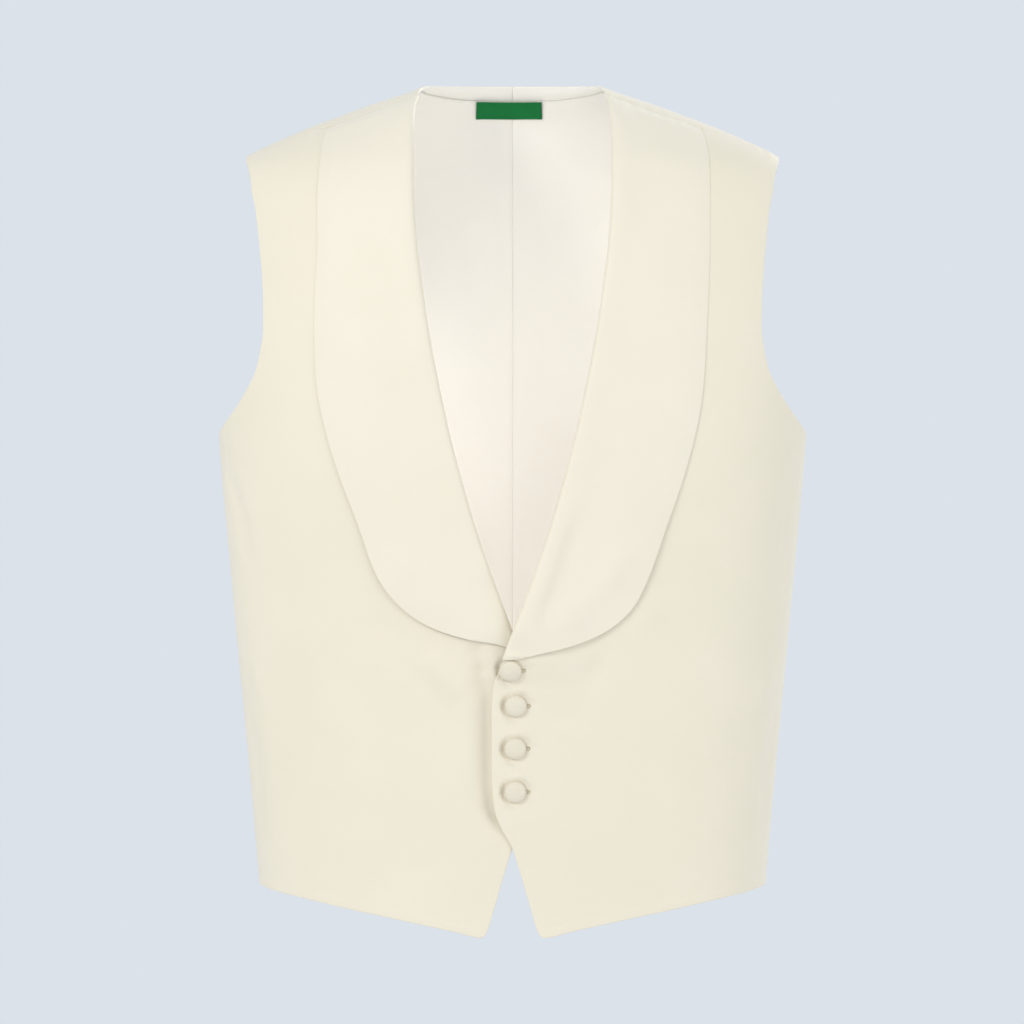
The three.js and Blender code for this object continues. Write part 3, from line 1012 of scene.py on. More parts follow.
def row_shares(panel: Panel, armhole_rows: int, side_rows: int) -> Array:
    """Rows, closer together over the shoulder, with one at the underarm.

    Args:
        panel: The cut piece.
        armhole_rows: How many lie beside the armhole.
        side_rows: How many lie beside the side seam.

    Returns:
        The rows, as shares of the length.
    """
    split = panel.outer.share(len(panel.outer.points) - 1 - SIDE_POINTS)
    upper = split * np.linspace(0, 1, armhole_rows + 1) ** ROW_CROWDING
    lower = lerp(split, 1, np.linspace(0, 1, side_rows + 1))
    return np.concatenate((upper, lower[1:]))


def turned_edge(distance: Array) -> Array:
    """How far the cloth stands up over the part of a hem that is turned under.

    Args:
        distance: The places' distances from the hem.

    Returns:
        The distances outwards.
    """
    return HEM_STEP * (1 - smooth_step(*HEM_WIDTHS, distance))


BUTTON_PLACES = ((-1, -407.5), (2.4, -432), (2.1, -461.3), (2.1, -491.1))

FOLDS = {
    Hand.RIGHT: (
        Crease(((18, -336), (9, -358), (3, -376), (-3, -394)), -3.0, 7, 0.3),
        Crease(((27, -386), (23, -400), (19.5, -414)), -2.7, 6, 0.3),
        Crease(((24, -398), (18.4, -428), (17.6, -486), (15.5, -502), (3, -524)), -4.0, 6.8, 0.16),
        Crease(((17, -492), (14.5, -503), (9, -513)), -0.6, 4, 0.35),
        Crease(((35, -404), (31, -455), (30, -500)), 1.2, 7),
        Crease(((58, -392), (31, -426)), 1.5, 10, 0.25),
        Crease(((98, -380), (62, -402), (38, -428)), 1.3, 9),
        Crease(((106, -366), (72, -396), (46, -434), (41, -470)), -1.7, 10),
        Crease(((124, -426), (98, -486), (92, -544)), 0.9, 16),
    ),
    Hand.LEFT: (
        Crease(((64, -398), (34, -452)), -1.4, 12, 0.25),
        Crease(((90, -376), (66, -396), (44, -424)), -1.3, 8),
        Crease(((112, -350), (86, -380), (60, -402)), 1.1, 9),
        Crease(((30, -440), (40, -500), (36, -548)), 0.8, 12),
        Crease(((110, -440), (92, -500), (94, -552)), -0.9, 16),
    ),
}
FRONT_RIPPLES = {Hand.RIGHT: Ripples(11, 0.34), Hand.LEFT: Ripples(23, 0.34)}


@dataclass(frozen=True)
class RimFold:
    """A short dent or roll of cloth that follows a button's rim.

    Attributes:
        height: How far it stands out, below 0 for a dent.
        radius: Its distance from the button's middle.
        width: How far it reaches inwards and outwards.
        side: The side of the button that its direction is measured from.
        turn: How far round the rim from there its middle lies, in radians.
        reach: How far it reaches round the rim each way, in radians.
    """

    height: float
    radius: float
    width: float
    side: Hand
    turn: float
    reach: float

    def lift(self, left: Array, over: Array) -> Array:
        """How far it moves the cloth.

        Args:
            left: The places' distances to the left of the button.
            over: Their distances over it.

        Returns:
            The distances outwards.
        """
        across = (np.hypot(left, over) - self.radius) / self.width
        round_rim = np.arctan2(self.side.value * over, self.side.value * left)
        along = (round_rim - self.turn) / self.reach
        return self.height * np.exp(-(across**2) - along**2)


@dataclass(frozen=True)
class Hollow:
    """A soft round hollow beside or under a button.

    Attributes:
        depth: How deep it is.
        left: How far to the left of the button its middle lies.
        over: How far over it.
        width: The square of how far it reaches across.
        height: The square of how far it reaches up and down.
    """

    depth: float
    left: float
    over: float
    width: float
    height: float

    def lift(self, left: Array, over: Array) -> Array:
        """How far it moves the cloth.

        Args:
            left: The places' distances to the left of the button.
            over: Their distances over it.

        Returns:
            The distances outwards, all below 0.
        """
        across = (left - self.left) ** 2 / self.width + (over - self.over) ** 2 / self.height
        return -self.depth * np.exp(-across)


BUTTON_FOLDS = (
    RimFold(-3.5, 8.4, 2.1, Hand.RIGHT, 0.1, 0.85),
    Hollow(0.5, 0, 0, 110, 110),
    Hollow(0.6, 12.5, 1.0, 30, 8),
    RimFold(2.1, 10.6, 1.5, Hand.LEFT, 0.95, 0.75),
    RimFold(1.5, 10.6, 1.5, Hand.LEFT, -2.1, 0.5),
)


def calm_at_sides(points: Array) -> Array:
    """How far folds may move the cloth: not at all at the side seam and the ridge.

    Args:
        points: The points.

    Returns:
        The share at each point, from 0 to 1.
    """
    return smooth_step(1, 26, np.abs(points[..., 1]))


def button_dents(x: Array, z: Array) -> Array:
    """How far the buttons pull both fronts in.

    The cloth dips in a crescent beside each button and a little under it and by its
    eyelet, and stands up in two short rolls round it.

    Args:
        x: The places' distances from the centre line, below 0 on the wearer's right.
        z: Their heights.

    Returns:
        The distances outwards.
    """
    total = np.zeros(np.shape(x))
    for centre_x, centre_z in BUTTON_PLACES:
        for fold in BUTTON_FOLDS:
            total += fold.lift(x - centre_x, z - centre_z)
    return total


SEAM_PUCKERS = {hand: Puckers(10.5, 11, 0.4, 0.8 * hand.value) for hand in Hand}
PUCKER_STRETCH = 1.08

# The front edge below the roll, roughly, as heights and distances from the centre, and
# how far the left front rises over the lapel that it crosses.
FRONT_EDGE_LINE = ((-600, -500, -400), (20, -14, -6))
LAPEL_CROSSING = 4.6


def seam_lift(hand: Hand, points: Array) -> Array:
    """How far a front's outer face moves near the shoulder seam.

    Small puckers run off the seam, and under the lapel the front dips by the lapel's
    thickness, so that the lapel ends level with the back.

    Args:
        hand: The side.
        points: Points on the wearer's left.

    Returns:
        The distance at each point.
    """
    x = points[..., 0]
    seam = SHOULDER_SEAM.read(1, np.clip(x, SEAM_NECK_X, SEAM_END_X))
    away = np.clip(-points[..., 1] - seam, 0, None)
    near = smooth_step(-90, -60, points[..., 2])
    dip = LAPEL_DIP * (1 - smooth_step(0.5, 11, away)) * (1 - smooth_step(127, 137, x))
    return (SEAM_PUCKERS[hand].lift(PUCKER_STRETCH * x, 1.2 * away) - dip) * near


SIDE_CREASES = {
    Face.FRONT: (
        Crease(((30, -258), (50, -300), (54, -352)), -1.8, 7),
        Crease(((44, -392), (58, -440), (50, -500)), 1.6, 9),
        Crease(((30, -420), (38, -476), (34, -540)), -1.4, 8),
    ),
    Face.BACK: (
        Crease(((32, -262), (60, -296), (74, -342)), -2.4, 8),
        Crease(((34, -330), (56, -384), (58, -440)), 2.2, 9),
        Crease(((36, -452), (52, -500), (46, -552)), -2.0, 9),
    ),
}


def side_lift(face: Face, points: Array) -> Array:
    """How far the folds beside the side seam move the cloth.

    Args:
        face: Whether it belongs to the front or the back.
        points: The points.

    Returns:
        The distance at each point.
    """
    x, away, z = np.abs(points[..., 0]), np.abs(points[..., 1]), points[..., 2]
    return sum(fold.lift(away, z) for fold in SIDE_CREASES[face]) * smooth_step(150, 185, x)


def front_lift(hand: Hand, points: Array) -> Array:
    """How far a front's outer face stands off the figure.

    Args:
        hand: The side; the left front laps over the right one.
        points: Points on the wearer's left, mirrored for the right.

    Returns:
        The distance at each point.
    """
    x, z = points[..., 0], points[..., 2]
    lift = sum(fold.lift(x, z) for fold in FOLDS[hand])
    lift = lift + button_dents(hand.value * x, z)
    edge = np.abs(x - np.interp(z, *FRONT_EDGE_LINE))
    calm = smooth_step(-30, -90, z) * smooth_step(8, 30, edge)
    lift = lift + FRONT_RIPPLES[hand].lift(x, z) * calm + side_lift(Face.FRONT, points)
    lift = lift * calm_at_sides(points) + seam_lift(hand, points)
    if hand is Hand.LEFT:
        over = (1 - smooth_step(17, 60, x)) * (1 - smooth_step(-370, -250, z))
        crossing = LAPEL_CROSSING * smooth_step(-421, -398, z)
        lift = lift + (SHELL_WALL + LAYER_GAP + crossing) * over
    return lift


@dataclass(frozen=True)
class Front:
    """A front: the cut piece between shoulder, armhole, side seam, hem and front edge.

    Attributes:
        hand: Its side.
        flat: The cut's width and length in metres; not used.
        area: The cut's flat area in square metres; not used.
        inset: How far its edge lies inside the roll of the lapel.
        neck_inset: How far it lies inside the roll at the neck.
    """

    hand: Hand
    flat: tuple[float, float] = (0.236, 0.618)
    area: float = 0.109
    inset: float = 3.2
    neck_inset: float = 1.2

    EDGE = (
        (69, -26),
        (68.6, -78),
        (66.4, -112),
        (59.4, -162),
        (51, -211),
        (39.8, -260.7),
        (25.7, -310),
        (8.6, -359),
        (-5.8, -397.7),
        (-9.6, -409),
        (-13.2, -418.5),
        (-14.3, -440),
        (-14.3, -476),
        (-12.7, -501),
        (-7.9, -516),
        (-0.5, -529),
        (5, -546),
        (10.7, -565.5),
        (17, -586.5),
        (19.3, -590.8),
    )
    HEM = (
        (23, -592),
        (30, -590.4),
        (41, -587.6),
        (66, -582.4),
        (91, -577.3),
        (116.5, -572.4),
        (140, -567.7),
        (163.7, -563.4),
        (173, -561.5),
    )

    COLUMNS = 108
    ROWS = (66, 200)

    def panel(self) -> Panel:
        """The cut piece on the figure.

        Returns:
            The panel between its four lines.
        """
        top = seam_curve(SEAM_GAP / 2, SEAM_NECK_X + self.neck_inset)

        def edge_point(x: Array, z: Array) -> Array:
            """A point of the front edge, moved inside the roll.

            Args:
                x: The roll's distance from the centre line.
                z: Its height.

            Returns:
                The point.
            """
            inset = lerp(1.4, self.inset, smooth_step(-392, -376, z))
            inset = inset * smooth_step(-403.5, -400.5, z)
            inset = lerp(inset, self.neck_inset, smooth_step(-36, -16, z))
            return FIGURE.at(x + inset, z, Face.FRONT)

        neck = (SEAM_NECK_X, float(top.points[0, 2]))
        edge = through((neck, *self.EDGE), edge_point)
        edge[0] = top.points[0]
        outer = armhole_and_side(Face.FRONT, top.points[-1:])
        hem = through(self.HEM, lambda x, z: FIGURE.at(x, z, Face.FRONT))
        bottom = Curve(np.concatenate((edge[-1:], hem, outer.points[-1:])))
        return Panel(top, bottom, Curve(edge), outer, 0.12)

    def build(self) -> bpy.types.Object:
        """The front as a shell with its folds, puckers and pressed edges.

        Returns:
            The piece.
        """
        panel = self.panel()
        t = np.linspace(0, 1, self.COLUMNS)
        grid = panel.grid(lerp(t, t * t, 0.5), row_shares(panel, *self.ROWS))
        cloth = spread(grid, SHELL_WALL / 2)
        height = front_lift(self.hand, cloth.points)
        turned = np.minimum(cloth.from_inner, cloth.from_bottom)
        height = height + turned_edge(turned)
        made = wall_object(f"silk_front_{self.hand.word}", self.hand, cloth, height, SHELL_WALL)
        log.info("front %s: area %.4f", self.hand.word, grid_area(cloth.points))
        placed(made, f"front_{self.hand.word}", SILK)
        stitches: list[bpy.types.Object] = []
        if self.hand is Hand.LEFT:
            cut_holes(made, BUTTONHOLES)
            stitches = [hole.build() for hole in BUTTONHOLES]
        return made


BACK_CREASES = (
    Crease(((28, -286), (37, -368), (29, -462)), -3.6, 11),
    Crease(((56, -322), (72, -396), (68, -482)), 3.0, 12),
    Crease(((160, -250), (122, -292), (80, -330), (44, -352)), -4.4, 10),
    Crease(((176, -272), (136, -322), (98, -366)), 3.4, 11),
    Crease(((170, -322), (142, -366), (108, -398)), -3.2, 8),
    Crease(((150, -398), (120, -432), (84, -446)), 2.2, 10),
    Crease(((112, -440), (126, -496), (118, -556)), -3.4, 12),
    Crease(((84, -480), (92, -524), (86, -560)), 2.4, 10),
    Crease(((154, -470), (158, -520), (152, -562)), 2.2, 12),
    Crease(((116, -58), (70, -92), (20, -116)), 2.2, 13),
    Crease(((142, -92), (106, -130), (66, -150)), -2.6, 11),
    Crease(((150, -150), (128, -196), (124, -246)), 2.0, 12),
    Crease(((22, -40), (31, -88), (24, -142)), -1.6, 9),
)


def back_lift(points: Array) -> Array:
    """How far the back's outer face stands off the figure.

    Args:
        points: Points on the wearer's left.

    Returns:
        The distance at each point.
    """
    x, z = points[..., 0], points[..., 2]
    lift = sum(fold.lift(x, z) for fold in BACK_CREASES) * (1 - 0.6 * smooth_step(170, 200, x))
    lift = lift + Ripples(37, 0.7).lift(x, z) * smooth_step(-20, -80, z)
    lift = lift + side_lift(Face.BACK, points)
    return lift * calm_at_sides(points) * smooth_step(0, 14, x)


def thread_object(name: str, paths: Array, radius: float, sides: int = 5) -> bpy.types.Object:
    """Short stitches as one object of small tubes.

    Args:
        name: The object's name.
        paths: The stitches, each a row of as many points.
        radius: The thread's radius.
        sides: How many sides a tube has.

    Returns:
        The object.
    """
    count, steps, _ = paths.shape
    along = np.gradient(paths, axis=1)
    along /= np.linalg.norm(along, axis=2, keepdims=True)
    first = np.cross(along, np.array((0.31, 0.2, 0.93)))
    first /= np.linalg.norm(first, axis=2, keepdims=True)
    second = np.cross(along, first)
    turn = np.linspace(0, 2 * np.pi, sides, endpoint=False)
    taper = np.ones(steps)
    taper[0] = taper[-1] = 0.45
    ring = first[:, :, None] * np.cos(turn)[:, None] + second[:, :, None] * np.sin(turn)[:, None]
    vertices = paths[:, :, None] + ring * (radius * taper)[None, :, None, None]
    index = np.arange(count * steps * sides).reshape(count, steps, sides)
    index = np.concatenate((index, index[:, :, :1]), axis=2)
    quads = np.concatenate([grid_faces(one) for one in index])
    flat = vertices.reshape(-1, 3)
    return mesh_object(name, flat, quads, flat[:, [0, 2]] * MM)


@dataclass(frozen=True)
class Felling:
    """Small slanted stitches that hold the edge of a piece to the cloth under it.

    Attributes:
        pitch: The distance from one stitch to the next.
        reach: How far a stitch runs to each side of the edge.
        radius: The thread's radius.
        slant: How far a stitch leans along the edge.
    """

    pitch: float
    reach: float
    radius: float
    slant: float = 0.5

    # Each point's place along the stitch, whether it lies on the piece, and its height.
    STEPS = ((-1.0, 0, 0.05), (-0.7, 0, -0.12), (0.15, 1, -0.2), (0.8, 1, -0.16), (1.1, 1, 0.1))

    def paths(self, edge: Array, inward: Array, ground: Array, top: Array) -> Array:
        """The stitches' lines.

        Args:
            edge: Points along the edge, on the figure.
            inward: Points beside them, on the piece.
            ground: How far the cloth under the edge stands off the figure.
            top: How far the piece's own face stands off it.

        Returns:
            Rows of points, one row for each stitch.
        """
        line = Curve(edge)
        share = np.arange(self.pitch / 2, line.length, self.pitch) / line.length
        at = share * line.length
        way = inward - edge
        way = way / np.linalg.norm(way, axis=1, keepdims=True)
        way = np.stack([np.interp(at, line.lengths, way[:, k]) for k in range(3)], axis=1)
        low, high = np.interp(at, line.lengths, ground), np.interp(at, line.lengths, top)
        rows = []
        for reach, on_piece, rise in self.STEPS:
            height = (high if on_piece else low) + rise
            points = line.at(share + self.slant * reach / line.length) + way * (reach * self.reach)
            rows.append(points + FIGURE.normal(points) * height[:, None])
        return np.stack(rows, axis=1)


LINING_FELLING = Felling(pitch=2.6, reach=0.9, radius=0.14)
LABEL_FELLING = Felling(pitch=1.7, reach=0.7, radius=0.1)

# The first row inside a piece's rounded edge, which its stitches run towards.
STITCH_ROW = 6


@dataclass(frozen=True)
class Back:
    """One half of the back with its lining.

    Attributes:
        hand: Its side.
        flat: The cut's width and length in metres; not used.
        area: The cut's flat area in square metres; not used.
        lining_flat: The lining's width and length in metres; not used.
        lining_area: The lining's flat area in square metres; not used.
        lining_wall: The lining's thickness.
        lining_gap: The room between the back and its lining.
        lining_insets: How far the lining lies inside the armhole, the neck and the hem.
        lining_edge: The radius of the lining's rounded edge.
        edge_gap: The room between the back and the lining's edge.
        neck_centre_z: The neck's height at the centre seam.
        neck_side_z: The neck's height at its side.
        hem_centre_z: The hem's height at the centre seam.
    """

    hand: Hand
    flat: tuple[float, float] = (0.268, 0.575)
    area: float = 0.126
    lining_flat: tuple[float, float] = (0.262, 0.556)
    lining_area: float = 0.121
    lining_wall: float = 1.0
    lining_gap: float = 0.8
    lining_insets: Triple = (3, 7, 12)
    lining_edge: float = 0.2
    edge_gap: float = 0.25
    neck_centre_z: float = 6.0
    neck_side_z: float = 1.4
    hem_centre_z: float = -528.0

    # The points of the neck, the shoulder's ends, the centre seam and the hem, and the
    # grid's columns along the neck and the shoulder and rows beside and under the armhole.
    NECK_POINTS = 61
    END_POINTS = 19
    CENTRE_POINTS = 120
    HEM_POINTS = 73
    COLUMNS = (34, 48)
    ROWS = (54, 70)

    # How fine the lining's grid is beside the back's, and the columns that its stitches
    # run along.
    LINING_FINENESS = 0.8
    STITCHED = slice(3, -6)

    def panel(self) -> tuple[Panel, float]:
        """The cut piece on the figure.

        Returns:
            The panel, and the neck's share of its upper line.
        """
        seam = seam_curve(-SEAM_GAP / 2)
        turn = np.pi / 2 * (1 - np.linspace(0, 1, self.NECK_POINTS))
        z = lerp(self.neck_side_z, self.neck_centre_z, np.sin(turn))
        _, _, back, power = FIGURE.section(z)
        neck = FIGURE.away(back * np.sin(turn) ** (2 / power), z, Face.BACK)
        neck[0] = FIGURE.at(SEAM_GAP / 2, self.neck_centre_z, Face.BACK)
        t = np.linspace(0, 1, self.END_POINTS)[:, None]
        over = FIGURE.settled(lerp(neck[-1], seam.points[0], t))
        top = Curve(np.concatenate((neck, over[1:], seam.points[1:])))
        end = FIGURE.away(ARMHOLE[0][2], ARMHOLE[0][0], Face.BACK)
        outer = armhole_and_side(Face.BACK, FIGURE.settled(lerp(seam.points[-1], end, t)))
        down = np.linspace(self.neck_centre_z, self.hem_centre_z, self.CENTRE_POINTS)
        centre = Curve(FIGURE.at(SEAM_GAP / 2, down, Face.BACK))
        t = np.linspace(0, 1, self.HEM_POINTS)
        z = lerp(self.hem_centre_z, SIDE_HEM_Z, t * t)
        x = lerp(SEAM_GAP / 2, FIGURE.section(z)[0], np.sin(np.pi / 2 * t))
        hem = FIGURE.at(x, z, Face.BACK)
        hem[-1] = outer.points[-1]
        neck_end = len(neck) + len(over) - 2
        return Panel(top, Curve(hem), centre, outer, 0.26), top.share(neck_end)

    def shares(self, panel: Panel, neck_share: float, finer: float) -> tuple[Array, Array]:
        """The columns and rows of the grid.

        Args:
            panel: The cut piece.
            neck_share: The neck's share of its upper line.
            finer: How finely it is divided, 1 for the back itself.

        Returns:
            The columns and the rows, as shares.
        """
        neck_columns, shoulder_columns = (round(count * finer) for count in self.COLUMNS)
        neck = np.linspace(0, neck_share, neck_columns)
        shoulder = np.linspace(neck_share, 1, shoulder_columns)
        rows = row_shares(panel, *(round(count * finer) for count in self.ROWS))
        return np.concatenate((neck, shoulder[1:])), rows

    def build(self) -> bpy.types.Object:
        """The half back as a shell, its inner face in the lining's finish.

        Returns:
            The piece.
        """
        panel, neck_share = self.panel()
        cloth = spread(panel.grid(*self.shares(panel, neck_share, 1)), SHELL_WALL / 2)
        height = back_lift(cloth.points)
        puckers = SEAM_PUCKERS[self.hand].lift(PUCKER_STRETCH * cloth.x, cloth.from_top)
        height = height + puckers * smooth_step(58, 70, cloth.x)
        height = height + turned_edge(cloth.from_bottom)
        made = wall_object(f"silk_back_{self.hand.word}", self.hand, cloth, height, SHELL_WALL)
        log.info("back %s: area %.4f", self.hand.word, grid_area(cloth.points))
        placed(made, f"back_{self.hand.word}", SILK)
        made.data.materials.append(LINING.material())
        inner = np.zeros(len(made.data.polygons), dtype=np.int32)
        inner[len(inner) // 2 :] = 1
        made.data.polygons.foreach_set("material_index", inner)
        return made

    def build_lining(self) -> bpy.types.Object:
        """The lining, felled to the back a little inside its borders.

        Returns:
            The piece.
        """
        panel, neck_share = self.panel()
        across, down = self.shares(panel, neck_share, self.LINING_FINENESS)
        length = panel.inner.length

        def within(shares: Array, low: float, high: float) -> Array:
            """Shares between two limits, with the limits themselves.

            Args:
                shares: The shares.
                low: The lower limit.
                high: The upper limit.

            Returns:
                The limits and what lies between them.
            """
            kept = shares[(shares > low + 0.003) & (shares < high - 0.003)]
            return np.concatenate(([low], kept, [high]))

        from_armhole, from_neck, from_hem = self.lining_insets
        across = within(across, 0, 1 - from_armhole / panel.top.length)
        down = within(down, from_neck / length, 1 - from_hem / length)
        cloth = spread(panel.grid(across, down), self.lining_edge)
        near = np.minimum(cloth.from_top, np.minimum(cloth.from_bottom, cloth.from_outer))
        gap = lerp(self.edge_gap, self.lining_gap, smooth_step(0, 6, near))
        height = back_lift(cloth.points) - SHELL_WALL - gap
        seam = Puckers(8.5, 13, 0.34, 1.1 + self.hand.value).lift(cloth.from_top, cloth.from_inner)
        worn = smooth_step(-10, -45, cloth.z) * (1 - 0.75 * smooth_step(-150, -300, cloth.z))
        height = height + seam * worn * smooth_step(0, 2, cloth.from_inner)
        name = f"lining_back_{self.hand.word}"
        made = wall_object(name, self.hand, cloth, height, self.lining_wall)
        log.info("lining %s: area %.4f", self.hand.word, grid_area(cloth.points))
        placed(made, f"back_lining_{self.hand.word}", LINING)
        columns = self.STITCHED
        ground = back_lift(cloth.points[0, columns]) - SHELL_WALL
        top = height[STITCH_ROW, columns] - self.lining_wall
        edge, inward = cloth.points[0, columns], cloth.points[STITCH_ROW, columns]
        paths = LINING_FELLING.paths(edge, inward, ground, top)
        paths = paths * np.array([self.hand.value, 1, 1])
        name = f"lining_stitches_{self.hand.word}"
        stitches = thread_object(name, paths, LINING_FELLING.radius)
        placed(stitches, None, THREAD)
        return made


LAPEL_FOLDS = {
    Hand.RIGHT: (
        Crease(((52, -300), (30, -346), (16, -378)), -0.7, 10),
        Crease(((86, -318), (60, -352), (34, -376)), 0.8, 11),
        Crease(((112, -150), (106, -220), (92, -290)), 0.5, 16),
    ),
    Hand.LEFT: (
        Crease(((50, -290), (36, -334), (15, -388)), -2.1, 9),
        Crease(((84, -312), (60, -352), (26, -386)), 2.4, 11),
        Crease(((108, -130), (110, -200), (96, -280)), 0.5, 16),
    ),
}


@dataclass(frozen=True)
class Lapel:
    """One side of the shawl collar: it turns round the front edge and lies on the front.

    Attributes:
        hand: Its side.
        flat: The cut's width and length in metres; not used.
        area: The cut's flat area in square metres; not used.
        wall: Its thickness.
        gap: The room between it and the front.
        bulge: How far the soft roll stands up.
        bulge_ends: The shares of the length between which it flattens.
        facing: How far it returns behind the front edge.
        rise: How much higher the right one ends.
        stand: How far the outer edge of the lower part stands off.
        belly: How far the middle of the leaf stands off.
        free_from: The shares of the length between which the leaf comes free.
        room: How much of the gap is open at the shoulder seam and below it.
        free_room: How much more of it is open where the leaf is free.
        bulge_reach: How far from the roll the bulge reaches.
        wave_heights: How high the free edge waves above and below there.
        wave_rate: How fast it waves, in radians over the length.
        press_width: How far in from the outer edge the leaf is pressed.
        thinning: How much the pressing thins it above and below there.
        edge_room: The room under the pressed edge.
    """

    hand: Hand
    flat: tuple[float, float] = (0.103, 0.426)
    area: float = 0.0385
    wall: float = 1.1
    gap: float = 0.55
    bulge: float = 3.2
    bulge_ends: tuple[float, float] = (0.84, 0.96)
    facing: float = 14.0
    rise: float = 7.0
    stand: float = 1.3
    belly: float = 1.5
    free_from: tuple[float, float] = (0.45, 0.7)
    room: tuple[float, float] = (0.25, 0.55)
    free_room: float = 0.45
    bulge_reach: float = 13.0
    wave_heights: tuple[float, float] = (0.08, 0.35)
    wave_rate: float = 23.0
    press_width: float = 6.0
    thinning: tuple[float, float] = (0.6, 0.25)
    edge_room: float = 0.14

    STATIONS = (
        (66.5, -8, 133, -31),
        (69, -26, 138, -52),
        (68.8, -52, 138.2, -77),
        (68.6, -78, 137.9, -111),
        (66.4, -112, 136.6, -144.5),
        (62.2, -145, 135, -178),
        (57.3, -178, 133, -211),
        (51, -211, 127, -244),
        (43.9, -244, 117.5, -277),
        (35.3, -277, 105, -310),
        (27, -306, 99, -328),
        (20.2, -326.4, 91.5, -348),
        (13.5, -346, 83, -364.5),
        (8, -361, 70, -377),
        (3, -374, 55.4, -385.5),
        (-0.8, -384, 38, -391.5),
        (-3.4, -391, 20, -395.7),
        (-6.6, -400.3, 3, -399.8),
    )
    EDGE_MOVES = {
        Hand.RIGHT: (
            (31, 55, 75, 116, 145, 172, 205, 250, 300),
            (-4.0, -4.4, -3.0, -3.0, -0.2, 1.4, 2.2, 1.2, 0),
        ),
        Hand.LEFT: ((31, 55, 205, 260, 300), (-1.2, -1.3, -1.5, -0.8, 0)),
    }

    # How many rows there are and over how many each way they are smoothed, and the
    # points across the return, round the roll and across the leaf.
    ROWS = 181
    SMOOTHING = 7
    SECTION_POINTS = (7, 17, 29)

    def lines(self) -> tuple[Array, Array, Array, Array]:
        """The lapel's two long lines, row by row.

        Returns:
            The roll line, the outer edge, and the fullness and the share of each row.
        """
        table = Table([(float(i), *row) for i, row in enumerate(self.STATIONS)])
        last = len(self.STATIONS) - 1
        share = np.linspace(0, 1, self.ROWS)
        columns = np.stack([table.read(k, share * last) for k in range(1, 5)], axis=1)
        reach = self.SMOOTHING
        kernel = np.hanning(2 * reach + 3)[1:-1]
        kernel /= kernel.sum()
        before = 2 * columns[:1] - columns[reach:0:-1]
        after = 2 * columns[-1:] - columns[-2 : -reach - 2 : -1]
        padded = np.concatenate((before, columns, after))
        columns = np.stack([np.convolve(padded[:, k], kernel, "valid") for k in range(4)], axis=1)
        columns[:, 2] += np.interp(-columns[:, 3], *self.EDGE_MOVES[self.hand])
        if self.hand is Hand.RIGHT:
            at = share * last
            columns[:, 3] += self.rise * smooth_step(10, 12.3, at) + 2.2 * smooth_step(15.5, 17, at)
        roll = FIGURE.at(columns[:, 0], columns[:, 1], Face.FRONT)
        edge = FIGURE.at(columns[:, 2], columns[:, 3], Face.FRONT)
        both, full = bordered(np.concatenate((roll, edge), axis=1).reshape(-1, 2, 3), self.wall / 2)
        end, near = len(full) - 1, len(BORDER_TURNS) + 1
        known = (0, share[1], share[-2], 1)
        share = np.interp(np.arange(len(full)), (0, near, end - near, end), known)
        return both[:, 0], both[:, 1], full, share

    def section(self, width: float, share: float) -> tuple[Array, Array]:
        """The section's middle line and how full the wall is along it.

        Args:
            width: The leaf's width.
            share: How far down the lapel it lies, from 0 to 1.

        Returns:
            Rows of the distance from the roll and the height, and the fullness.
        """
        rising = smooth_step(*self.bulge_ends[::-1], share) * smooth_step(0, 0.06, share)
        bulge = self.bulge * float(rising)
        free = float(smooth_step(*self.free_from, share))
        room = lerp(*self.room, float(smooth_step(0, 0.05, share)))
        gap = self.gap * (room + self.free_room * free)
        low = -(SHELL_WALL + gap + self.wall / 2)
        base = self.wall / 2 + gap
        radius = (base + bulge - low) / 2
        facing_points, arc_points, leaf_points = self.SECTION_POINTS
        facing = np.linspace(min(self.facing, width * 0.8), radius, facing_points)[:-1]
        angle = np.pi * np.linspace(0.5, 1.5, arc_points)
        arc = np.stack((radius + radius * np.cos(angle), low + radius - radius * np.sin(angle)), axis=1)
        t = np.linspace(0, 1, leaf_points)[1:]
        reach = lerp(radius, width, lerp(t, t * t, 0.35))
        stand = self.stand * float(smooth_step(0.25, 0.6, share) * smooth_step(1, 0.9, share))
        above_closing = float(smooth_step(1, 0.85, share))
        wave = lerp(*self.wave_heights, free) * above_closing
        stand += wave * math.sin(self.wave_rate * share + self.hand.value)
        belly = self.belly * float(smooth_step(1, 0.75, share) * smooth_step(0, 0.1, share))
        belly = belly * np.sin(np.pi * t)
        near_roll = np.exp(-(((reach - radius) / self.bulge_reach) ** 2))
        leaf = base + bulge * near_roll + stand * t * t + belly
        under = np.stack((facing, np.full_like(facing, low)), axis=1)
        line = np.concatenate((under, arc, np.stack((reach, leaf), axis=1)))
        rounded, full = bordered(np.pad(line, ((0, 0), (0, 1))), self.wall / 2)
        pressed = np.exp(-(((width - rounded[:, 0]) / self.press_width) ** 2))
        pressed *= np.linspace(0, 1, len(rounded)) ** 0.5
        thin = lerp(*self.thinning, free) * above_closing * pressed
        rounded[:, 1] -= self.wall / 2 * thin + (gap - self.edge_room) * (1 - free) * pressed
        return rounded[:, :2], full * (1 - thin)

